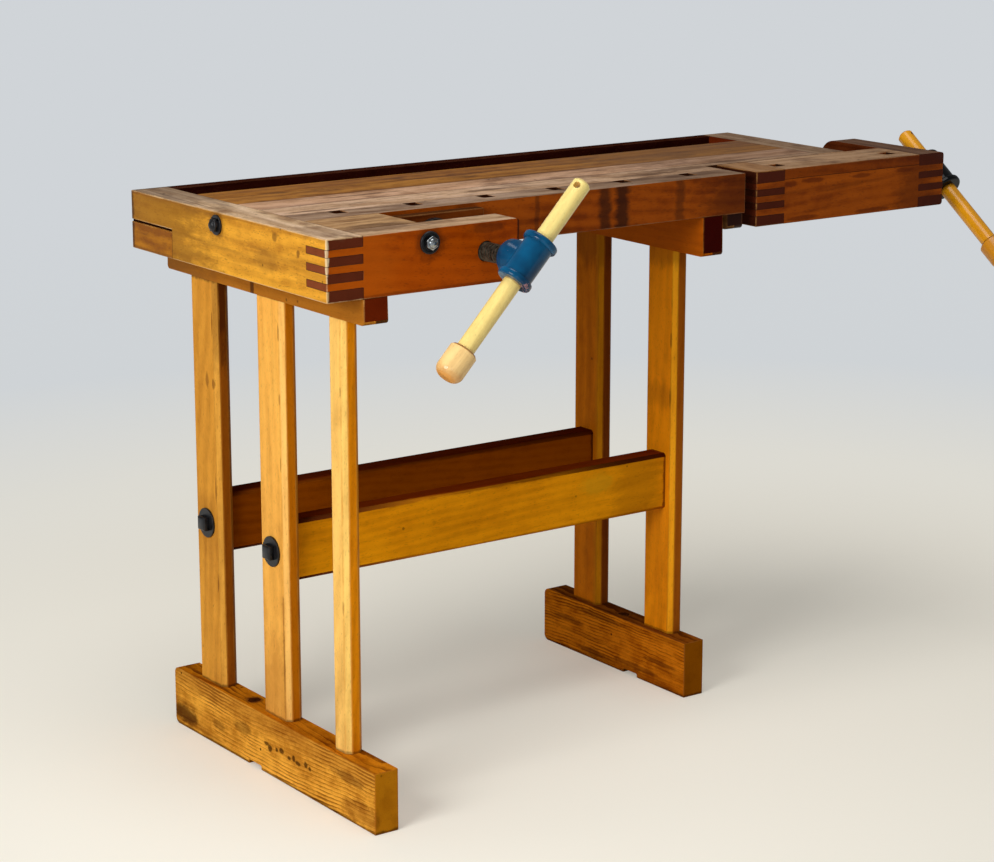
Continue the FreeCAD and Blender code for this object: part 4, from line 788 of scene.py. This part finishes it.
def is_shaded_recess(node_name, face):
    """Whether a face looks into one of the bench's holes or narrow gaps, where it is painted dark as shade.
    """
    centre, way = face.center, face.normal
    if node_name == "front_beam":
        low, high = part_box(node_name)
        return (centre.y > HOLE_FRONT - TOUCH and abs(way.z) < 0.5
                and low.x + BEAM_ENDS < centre.x < high.x - BEAM_ENDS)
    if node_name == "main_slab":
        return way.y < -0.5
    if node_name in ("tail_vise_front_board", "tail_vise_top_board"):
        low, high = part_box("tail_vise_front_board")
        between = low.x + VISE_ENDS < centre.x < high.x - VISE_ENDS
        return way.y > 0.5 or (abs(way.x) > 0.5 and between)
    return False


for seed, (node_name, (grain, slot, base, end, worn, face_colours_and_shading)) in enumerate(BOARDS.items(), 3):
    low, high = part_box(node_name)
    piece = clean_copy(node_name, node_name + "_board")
    ease(piece, node_name)
    # inside faces are painted nearly black as shade
    mark(piece, "inside", lambda face: is_shaded_recess(node_name, face))
    # the colours by face way paint the lamps' light and shade as well as the wood's own colour
    faces = {"base": base, **face_colours_and_shading, "end": end, "worn": worn}
    marks = STAINS.get(node_name, ()), SPOTS.get(node_name, ()), BANDS.get(node_name)
    stand_for(piece, node_name,
              wood(node_name + "_wood", TIMBER_OF[slot], grain, (low + high) / 2, seed, faces, *marks))
print("boards dressed:", len(BOARDS))

# %% [markdown]
# ## Handles and knobs
# The dowels and knobs of the frame have the right shape, so they stay and only get a finish. The
# shoulder vise's handle is a new maple dowel under clear lacquer, and the tail vise's is an older
# one that has gone amber. The grain runs along each handle, whose direction is read from the boxes
# of the dowel and its knob. Thin dark lines show where a knob was glued on and where a hub rubs.

# %% Handles and knobs
FRONT_X, FRONT_Z = 252, 780                          # the shoulder vise's screw, in bench millimetres
TAIL_Y, TAIL_Z = 222, 770                            # the tail vise's screw
FRONT_HUB, TAIL_HUB = at(FRONT_X, -93, FRONT_Z), at(1305, TAIL_Y, TAIL_Z)
TO_KNOB = {"front": 147 * MM, "tail": 159 * MM}      # hub to where the knob begins
HALF_RUN = 35 * MM                                   # half a hub's own length along its handle
HANDLES = {
    # side: (hub, colours of the dowel, colours of the knob, colour of the dark lines)
    "front": (FRONT_HUB, {"base": "#ffe38c", "end": "#f0cc80", "worn": "#f6e8b0"},
              {"base": "#fbd28c", "end": "#eaa850", "worn": "#f0d090"}, "#8a4c18"),
    "tail": (TAIL_HUB, {"base": "#eaa012", "end": "#c07818", "worn": "#e0a840"},
             {"base": "#d08818", "end": "#b06a14", "worn": "#d89838"}, "#4a2408"),
}


def handle_way(side):
    """The direction from a handle's knob to its free end."""
    low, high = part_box(f"{side}_vise_handle")
    knob_low, knob_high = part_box(f"{side}_vise_handle_knob")
    return ((low + high) / 2 - (knob_low + knob_high) / 2).normalized()


for seed, (side, (hub, dowel, knob, line)) in enumerate(HANDLES.items(), 40):
    way = handle_way(side)
    neck = (hub - way * TO_KNOB[side]).dot(way)
    rims = [(way, (hub + way * HALF_RUN * sign).dot(way), 2.5 * MM, 0.5, line) for sign in (-1, 1)]
    dowel_wood = wood(f"{side}_handle_wood", "maple", way, hub, seed, dowel, rims)
    coat(nodes[f"{side}_vise_handle"], dowel_wood)
    rubbed = [(way, neck - 1 * MM, 2 * MM, 0.8, line), (way, neck - 46 * MM, 16 * MM, 0.5, "#c07a2a")]
    knob_wood = wood(f"{side}_knob_wood", "maple", way, hub, seed + 5, knob, rubbed)
    coat(nodes[f"{side}_vise_handle_knob"], knob_wood)
hidden_dowels = {"base": "#b8843c", "worn": "#c89850"}
coat(nodes["top_dowels"], wood("dowel_wood", "maple", Z, Vector((0, 0, 0)), 60, hidden_dowels))
print("handles run along", [tuple(round(v, 3) for v in handle_way(side)) for side in HANDLES])

# %% [markdown]
# ## Hubs and other castings
# The hubs are the frame's own tees with their enamel. The nuts, the swivel, the collar and the
# washers are iron, and get eased edges as the boards did, only finer.

# %% Castings
FINE_ARRIS = 0.7 * MM
CASTINGS = {
    "front_vise_swivel": black_iron, "tail_vise_garter": black_iron, "front_vise_nut": grey_iron,
    "tail_vise_nut": grey_iron, "cap_bolt_washers": black_iron, "left_rail_washers": black_iron,
    "right_rail_washers": black_iron,
}
front_way = handle_way("front")
chipped_rim = FRONT_HUB - front_way * HALF_RUN + X * 17 * MM
chipped_way = (X * 0.7 - front_way).normalized()
blue = enamel("blue_enamel", "#012242", "#03567e", (chipped_rim, chipped_way))
coat(nodes["front_vise_tee"], blue)
coat(nodes["tail_vise_tee"], enamel("black_enamel", "#050506", "#101012", sheen=0.15))
for node_name in ("top_cross_nuts", "rail_cross_nuts", "front_vise_swivel_pin"):
    coat(nodes[node_name], screw_steel)
for node_name, metal in CASTINGS.items():
    piece = clean_copy(node_name, node_name + "_casting")
    ease(piece, node_name, FINE_ARRIS, shortest=0)
    stand_for(piece, node_name, metal)
print("castings:", len(CASTINGS))

# %% [markdown]
# ## Turning
# Bolts, washers and screws are round about an axis. Each starts as a circle, which is extruded
# along the axis and scaled, station by station, as one would turn it on a lathe. It is turned at
# the origin, pointing up, and then laid along its own axis, with its place applied to the mesh.

# %% A lathe in edit mode
AROUND = 40


def turned(name, stations, ring=False, around=AROUND, smooth=40):
    """A solid turned about Z from stations of (height, radius) in millimetres. A ring's last
    station is its first one. Edges of less than smooth degrees are shaded smooth."""
    stations = [(height * MM, radius * MM) for height, radius in stations]
    height, radius = stations[0]
    bpy.ops.mesh.primitive_circle_add(vertices=around, radius=radius, location=(0, 0, height),
                                      fill_type="NOTHING" if ring else "NGON")
    obj = bpy.context.object
    obj.name = name
    bpy.ops.object.mode_set(mode="EDIT")
    for new_height, new_radius in stations[1:]:
        bpy.ops.mesh.extrude_region_move(TRANSFORM_OT_translate={"value": (0, 0, new_height - height)})
        share = new_radius / radius
        bpy.ops.transform.resize(value=(share, share, 1), center_override=(0, 0, new_height))
        height, radius = new_height, new_radius
    bpy.ops.mesh.select_all(action="SELECT")
    bpy.ops.mesh.remove_doubles(threshold=0.005 * MM)
    bpy.ops.mesh.normals_make_consistent(inside=False)
    bpy.ops.object.mode_set(mode="OBJECT")
    bpy.ops.object.shade_smooth_by_angle(angle=math.radians(smooth))
    return obj


def lay(obj, point, way):
    """Turn a piece's Z axis along a direction, move it to a point and apply both to the mesh."""
    turn = Z.rotation_difference(way).to_matrix().to_4x4()
    obj.matrix_world = Matrix.Translation(point) @ turn @ obj.matrix_world
    select_only(obj)
    bpy.ops.object.transform_apply(location=True, rotation=True, scale=True)
    return obj


def soften(obj, width):
    """Round every sharp edge a little and shade the rest smooth."""
    bevel = obj.modifiers.new("softened", "BEVEL")
    bevel.limit_method = "ANGLE"
    bevel.angle_limit = SHARP
    bevel.width = width
    bevel.segments = 2
    select_only(obj)
    apply_all(obj)
    bpy.ops.object.shade_smooth_by_angle(angle=math.radians(40))
    return obj


def weld(name, parts):
    """Join several meshes to one piece."""
    select_only(parts[0])
    for part in parts:
        part.select_set(True)
    bpy.ops.object.join()
    parts[0].name = name
    return parts[0]


print("the lathe has", AROUND, "steps around")

# %% [markdown]
# ## The screw threads
# A vise screw carries a square thread of one turn in six millimetres. Its profile, one turn long,
# is drawn by extruding a single point, and a Screw modifier sweeps it round and up. The helix is
# made too long, welded, and then cut square and closed at both ends. The plain journals at the
# ends are turned and joined to it.

# %% Cut the threads
PITCH, CREST, ROOT = 6 * MM, 13 * MM, 11.2 * MM
PROFILE = ((0, 0.42), (-1, 0.10), (0, 0.38), (1, 0.10))    # out by depths and up by turns
SPARE = 2                                                  # turns too many at either end
STEPS = 28


def thread(name, length):
    """A threaded rod that stands on the origin and reaches up to a length."""
    bpy.ops.mesh.primitive_plane_add(size=MM, location=(0, 0, 0))
    rod = bpy.context.object
    rod.name = name
    bpy.ops.object.mode_set(mode="EDIT")
    bpy.ops.mesh.merge(type="CENTER")
    bpy.ops.transform.translate(value=(CREST, 0, -SPARE * PITCH))
    for outward, upward in PROFILE:
        step = (outward * (CREST - ROOT), 0, upward * PITCH)
        bpy.ops.mesh.extrude_region_move(TRANSFORM_OT_translate={"value": step})
    bpy.ops.object.mode_set(mode="OBJECT")
    sweep = rod.modifiers.new("sweep", "SCREW")
    sweep.screw_offset = PITCH
    sweep.iterations = int(length / PITCH) + 2 * SPARE
    sweep.steps = sweep.render_steps = STEPS
    apply_all(rod)
    bpy.ops.object.mode_set(mode="EDIT")
    bpy.ops.mesh.select_all(action="SELECT")
    bpy.ops.mesh.remove_doubles(threshold=0.01 * MM)
    for height, way in ((0, -1), (length, 1)):
        bpy.ops.mesh.select_all(action="SELECT")
        bpy.ops.mesh.bisect(plane_co=(0, 0, height), plane_no=(0, 0, way), use_fill=True, clear_outer=True)
    bpy.ops.mesh.select_all(action="SELECT")
    bpy.ops.mesh.normals_make_consistent(inside=False)
    bpy.ops.object.mode_set(mode="OBJECT")
    bpy.ops.object.shade_smooth_by_angle(angle=math.radians(30))
    return rod


SCREWS = {
    # node: (way, foot, threaded length, stations of the plain end)
    "front_vise_screw": (Y, at(FRONT_X, -77, FRONT_Z), 186.3 * MM,
                         [(186, 9), (188.3, 9), (188.3, 6.5), (194.1, 6.5), (194.1, 9), (204.3, 9)]),
    "tail_vise_screw": (-X, at(1244.6, TAIL_Y, TAIL_Z), 308.6 * MM,
                        [(-44.4, 13), (-7.8, 13), (-7.8, 9.5), (0.3, 9.5)]),
}
for node_name, (way, foot, length, stations) in SCREWS.items():
    rod = thread(node_name + "_thread", length)
    journal = turned(node_name + "_journal", stations)
    piece = lay(weld(node_name + "_threaded", [rod, journal]), foot, way)
    stand_for(piece, node_name, screw_steel)
    print(node_name, "triangles:", sum(len(face.vertices) - 2 for face in piece.data.polygons))

# %% [markdown]
# ## Bolts
# Two kinds of head hold this bench. The rails have forged square heads, whose corners were
# chamfered on a wheel. The end caps and the arm have domed nuts, the arm's one plated and sitting
# in a black washer with a raised rim. A head is modelled standing on the origin, gets a plain
# shank that goes down from it into the wood, and is then laid at its place.

# %% Heads and shanks
HEAD, HEAD_HIGH, CHAMFER = 20 * MM, 9 * MM, 2.4 * MM
SLOPE = CHAMFER * 0.6       # how far a chamfer falls
HEX_HIGH = 5 * MM           # the six sides of a domed nut
SHANK = 5                   # radius in millimetres


def pick(obj, chosen):
    """Select the faces that pass a test, and leave edit mode on."""
    bpy.ops.mesh.select_all(action="DESELECT")
    bpy.ops.object.mode_set(mode="OBJECT")
    for face in obj.data.polygons:
        face.select = chosen(face)
    bpy.ops.object.mode_set(mode="EDIT")


def square_head(name):
    bpy.ops.mesh.primitive_cube_add(size=HEAD, location=(0, 0, HEAD / 2))
    head = bpy.context.object
    head.name = name
    bpy.ops.object.mode_set(mode="EDIT")
    bpy.ops.transform.resize(value=(1, 1, (HEAD_HIGH - SLOPE) / HEAD), center_override=(0, 0, 0))
    pick(head, lambda face: face.normal.z > 0.9)
    bpy.ops.mesh.inset(thickness=CHAMFER, depth=SLOPE)
    bpy.ops.object.mode_set(mode="OBJECT")
    return soften(head, 0.6 * MM)


def domed_nut(name):
    bpy.ops.mesh.primitive_cylinder_add(vertices=6, radius=HEAD / 2, depth=HEX_HIGH,
                                        location=(0, 0, HEX_HIGH / 2))
    nut = bpy.context.object
    nut.name = name
    bpy.ops.object.mode_set(mode="EDIT")
    pick(nut, lambda face: face.normal.z > 0.9)
    bpy.ops.mesh.inset(thickness=1.5 * MM, depth=0.8 * MM)
    bpy.ops.object.mode_set(mode="OBJECT")
    soften(nut, 0.7 * MM)
    dome = turned(name + "_dome", [(4, 6.6), (6.4, 6.4), (7.6, 5.4), (8.5, 3.6), (8.9, 1.6)], smooth=50)
    return weld(name, [nut, dome])


def ring_washer(name):
    return turned(name, [(0, 5.5), (0, 15.4), (2.2, 15.4), (2.9, 14.7), (2.9, 12.6), (1.5, 11.4),
                         (1.5, 5.5), (0, 5.5)], ring=True)


BOLTS = {
    # node: (head, metal, slot, length in mm, [(place of the washer's outer face, way into the wood)])
    "left_rail_bolts": (square_head, black_iron, "black_iron", 104,
                        [(at(54, y, 335.5), X) for y in (249.5, 434.5)]),
    "right_rail_bolts": (square_head, black_iron, "black_iron", 104,
                         [(at(784, y, 335.5), -X) for y in (249.5, 434.5)]),
    "cap_bolts": (domed_nut, black_iron, "black_iron", 123,
                  [(at(-3, 283, 802), X), (at(1125, 283, 802), -X)]),
    "arm_tie_bolt": (domed_nut, plated_steel, "bright_steel", 261, [(at(160, -3, 801), Y)]),
}
for node_name, (head, metal, slot, length, places) in BOLTS.items():
    parts = []
    for number, (place, way) in enumerate(places):
        top = head(f"{node_name}_{number}")
        shank = turned(f"{node_name}_shank_{number}",
                       [(-length, SHANK - 0.6), (1 - length, SHANK), (0.5, SHANK)], around=20)
        parts.append(lay(weld(top.name, [top, shank]), place, -way))
    piece = weld(node_name + "_forged", parts)
    stand_for(piece, node_name, metal)
piece = lay(ring_washer("arm_tie_ring_washer"), at(160, 0, 801), -Y)
stand_for(piece, "arm_tie_bolt_washer", black_iron)
print("bolts:", ", ".join(BOLTS))

# %% [markdown]
# ## Wood screws
# Slotted screws hold the swivel to the chop, and the tail vise's nut and collar to their boards.
# One low domed head is turned, a Boolean modifier cuts its slot, and each place gets a copy with
# its own mesh, laid flat on its casting and turned its own way.

# %% Slotted screws
SCREW_HEAD, HEAD_TOP, SLOT_WIDE, SLOT_DEEP = 3.1, 1.7, 0.9, 1.0       # radius and sizes in mm
head = turned("slotted_screw", [(0, SCREW_HEAD), (0.8, SCREW_HEAD), (1.4, SCREW_HEAD * 0.75),
                                (HEAD_TOP, SCREW_HEAD * 0.4)], around=24, smooth=35)
bpy.ops.mesh.primitive_cube_add(size=MM, location=(0, 0, HEAD_TOP * MM))
cutter = bpy.context.object
cutter.scale = (3 * SCREW_HEAD, SLOT_WIDE, 2 * SLOT_DEEP)
slot_cut = head.modifiers.new("slot", "BOOLEAN")
slot_cut.object = cutter
slot_cut.operation = "DIFFERENCE"
apply_all(head)
bpy.ops.object.shade_smooth_by_angle(angle=math.radians(35))
bpy.data.objects.remove(cutter)
coat(head, screw_steel)

WOOD_SCREWS = {
    # body: (way out, [places])
    "front_jaw": (-Y, [at(FRONT_X + 25 * math.cos(turn), 118.7, FRONT_Z + 25 * math.sin(turn))
                       for turn in (0.79, 2.36, 3.93, 5.5)]),
    "bench": (-Y, [at(x, 236, z) for x in (1075, 1114) for z in (749.5, 790.5)]),
    "tail_carriage": (X, [at(1252, TAIL_Y + 22.5 * across, TAIL_Z + 22.5 * up)
                          for across, up in ((-1, 0), (0, 1), (1, 0))]),
}
for body, (way, places) in WOOD_SCREWS.items():
    for number, place in enumerate(places):
        screw = bpy.data.objects.new(f"{body}_wood_screw_{number}", head.data.copy())
        bpy.context.scene.collection.objects.link(screw)
        screw.matrix_world = Matrix.Rotation(0.9 * number + 0.4, 4, "Z")
        select_only(screw)
        bpy.ops.object.transform_apply(location=False, rotation=True, scale=False)
        lay(screw, place, way)
        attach(screw, body)
bpy.data.objects.remove(head)
print("wood screws:", sum(len(places) for way, places in WOOD_SCREWS.values()))

# %% [markdown]
# ## Floor and light
# The bench stands on a plain pale floor. Near it the floor is lit and keeps the bench's shadow, and
# further out it fades to an even pale grey, as a paper sweep would, but only for rays that come
# from the eye or a reflection, so that it adds no light of its own. A broad key lamp stands close
# on the left, so the left faces are bright and the right-hand trestle is dimmer. A weaker lamp
# opens the front faces, and a large one overhead gives the soft shadow.

# %% Floor
NEAR_FLOOR = "#e6e1d4"
PAPER = [(0.0, "#e4e0d5"), (0.16, "#dcdad2"), (0.4, "#cfd3d6"), (1.0, "#d0d4d8")]
LIFT = 0.30                 # light that the floor shows to the eye only
bpy.ops.mesh.primitive_plane_add(size=60, location=(0, 0, 0))
floor = bpy.context.object
floor.name = "studio_floor"
floor_material, add = start("pale_floor")
reach = add("VectorMath", "LENGTH", [add("TexCoord").outputs["Object"]])
fade = add("MapRange", {"interpolation_type": "SMOOTHSTEP"}, [reach, 0.55, 1.7])
rays = add("LightPath").outputs
seen = rays["Is Camera Ray"]
for ray in ("Is Glossy Ray", "Is Transmission Ray"):
    seen = add("Math", "MAXIMUM", [seen, rays[ray]])
fade = add("Math", "MULTIPLY", [fade, seen])
lift = add("Math", "MULTIPLY", [seen, LIFT])
sweep = add("ValToRGB", {"stops": PAPER}, [add("MapRange", (), [reach, 1.0, 5.0])])
near = add("BsdfPrincipled", inputs={"Base Color": colour(NEAR_FLOOR), "Roughness": 0.85,
                                     "Specular IOR Level": 0.2})
glow = add("Emission", inputs={"Color": colour(NEAR_FLOOR), "Strength": lift})
near = add("AddShader", (), [near, glow])
far = add("Emission", inputs={"Color": sweep, "Strength": 1.0})
add("OutputMaterial", inputs={"Surface": add("MixShader", (), [fade, near, far])})
floor.data.materials.append(floor_material)
floor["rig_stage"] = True
print("floor is laid")

# %% Lamps
LAMPS = {
    # name: (place, aim, size, watts)
    "key_lamp": ((-2.7, -0.8, 1.5), (-0.4, 0, 0.5), 1.4, 46),
    "front_lamp": ((-1.5, -2.6, 1.3), (-0.3, 0, 0.4), 1.2, 5),
    "top_lamp": ((-0.4, -0.4, 3.4), (-0.1, 0, 0.6), 2.0, 36),
}
for name, (place, aim, size, watts) in LAMPS.items():
    light = bpy.data.lights.new(name, "AREA")
    light.shape = "DISK"
    light.size = size
    light.energy = watts
    lamp = bpy.data.objects.new(name, light)
    lamp.location = place
    lamp.rotation_euler = (Vector(aim) - Vector(place)).to_track_quat("-Z", "Y").to_euler()
    bpy.context.scene.collection.objects.link(lamp)

world = bpy.data.worlds.new("pale_surround")
world.use_nodes = True
world.node_tree.nodes.clear()
surround = add_node(world.node_tree, "Background", inputs={"Color": colour("#eef0f2"), "Strength": 0.27})
add_node(world.node_tree, "OutputWorld", inputs={"Surface": surround})
bpy.context.scene.world = world
bpy.context.scene.view_settings.view_transform = "Standard"
print("lamps:", ", ".join(LAMPS))

# %% Sizes and the end
low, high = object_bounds()
print("size", [round(v, 4) for v in high - low])
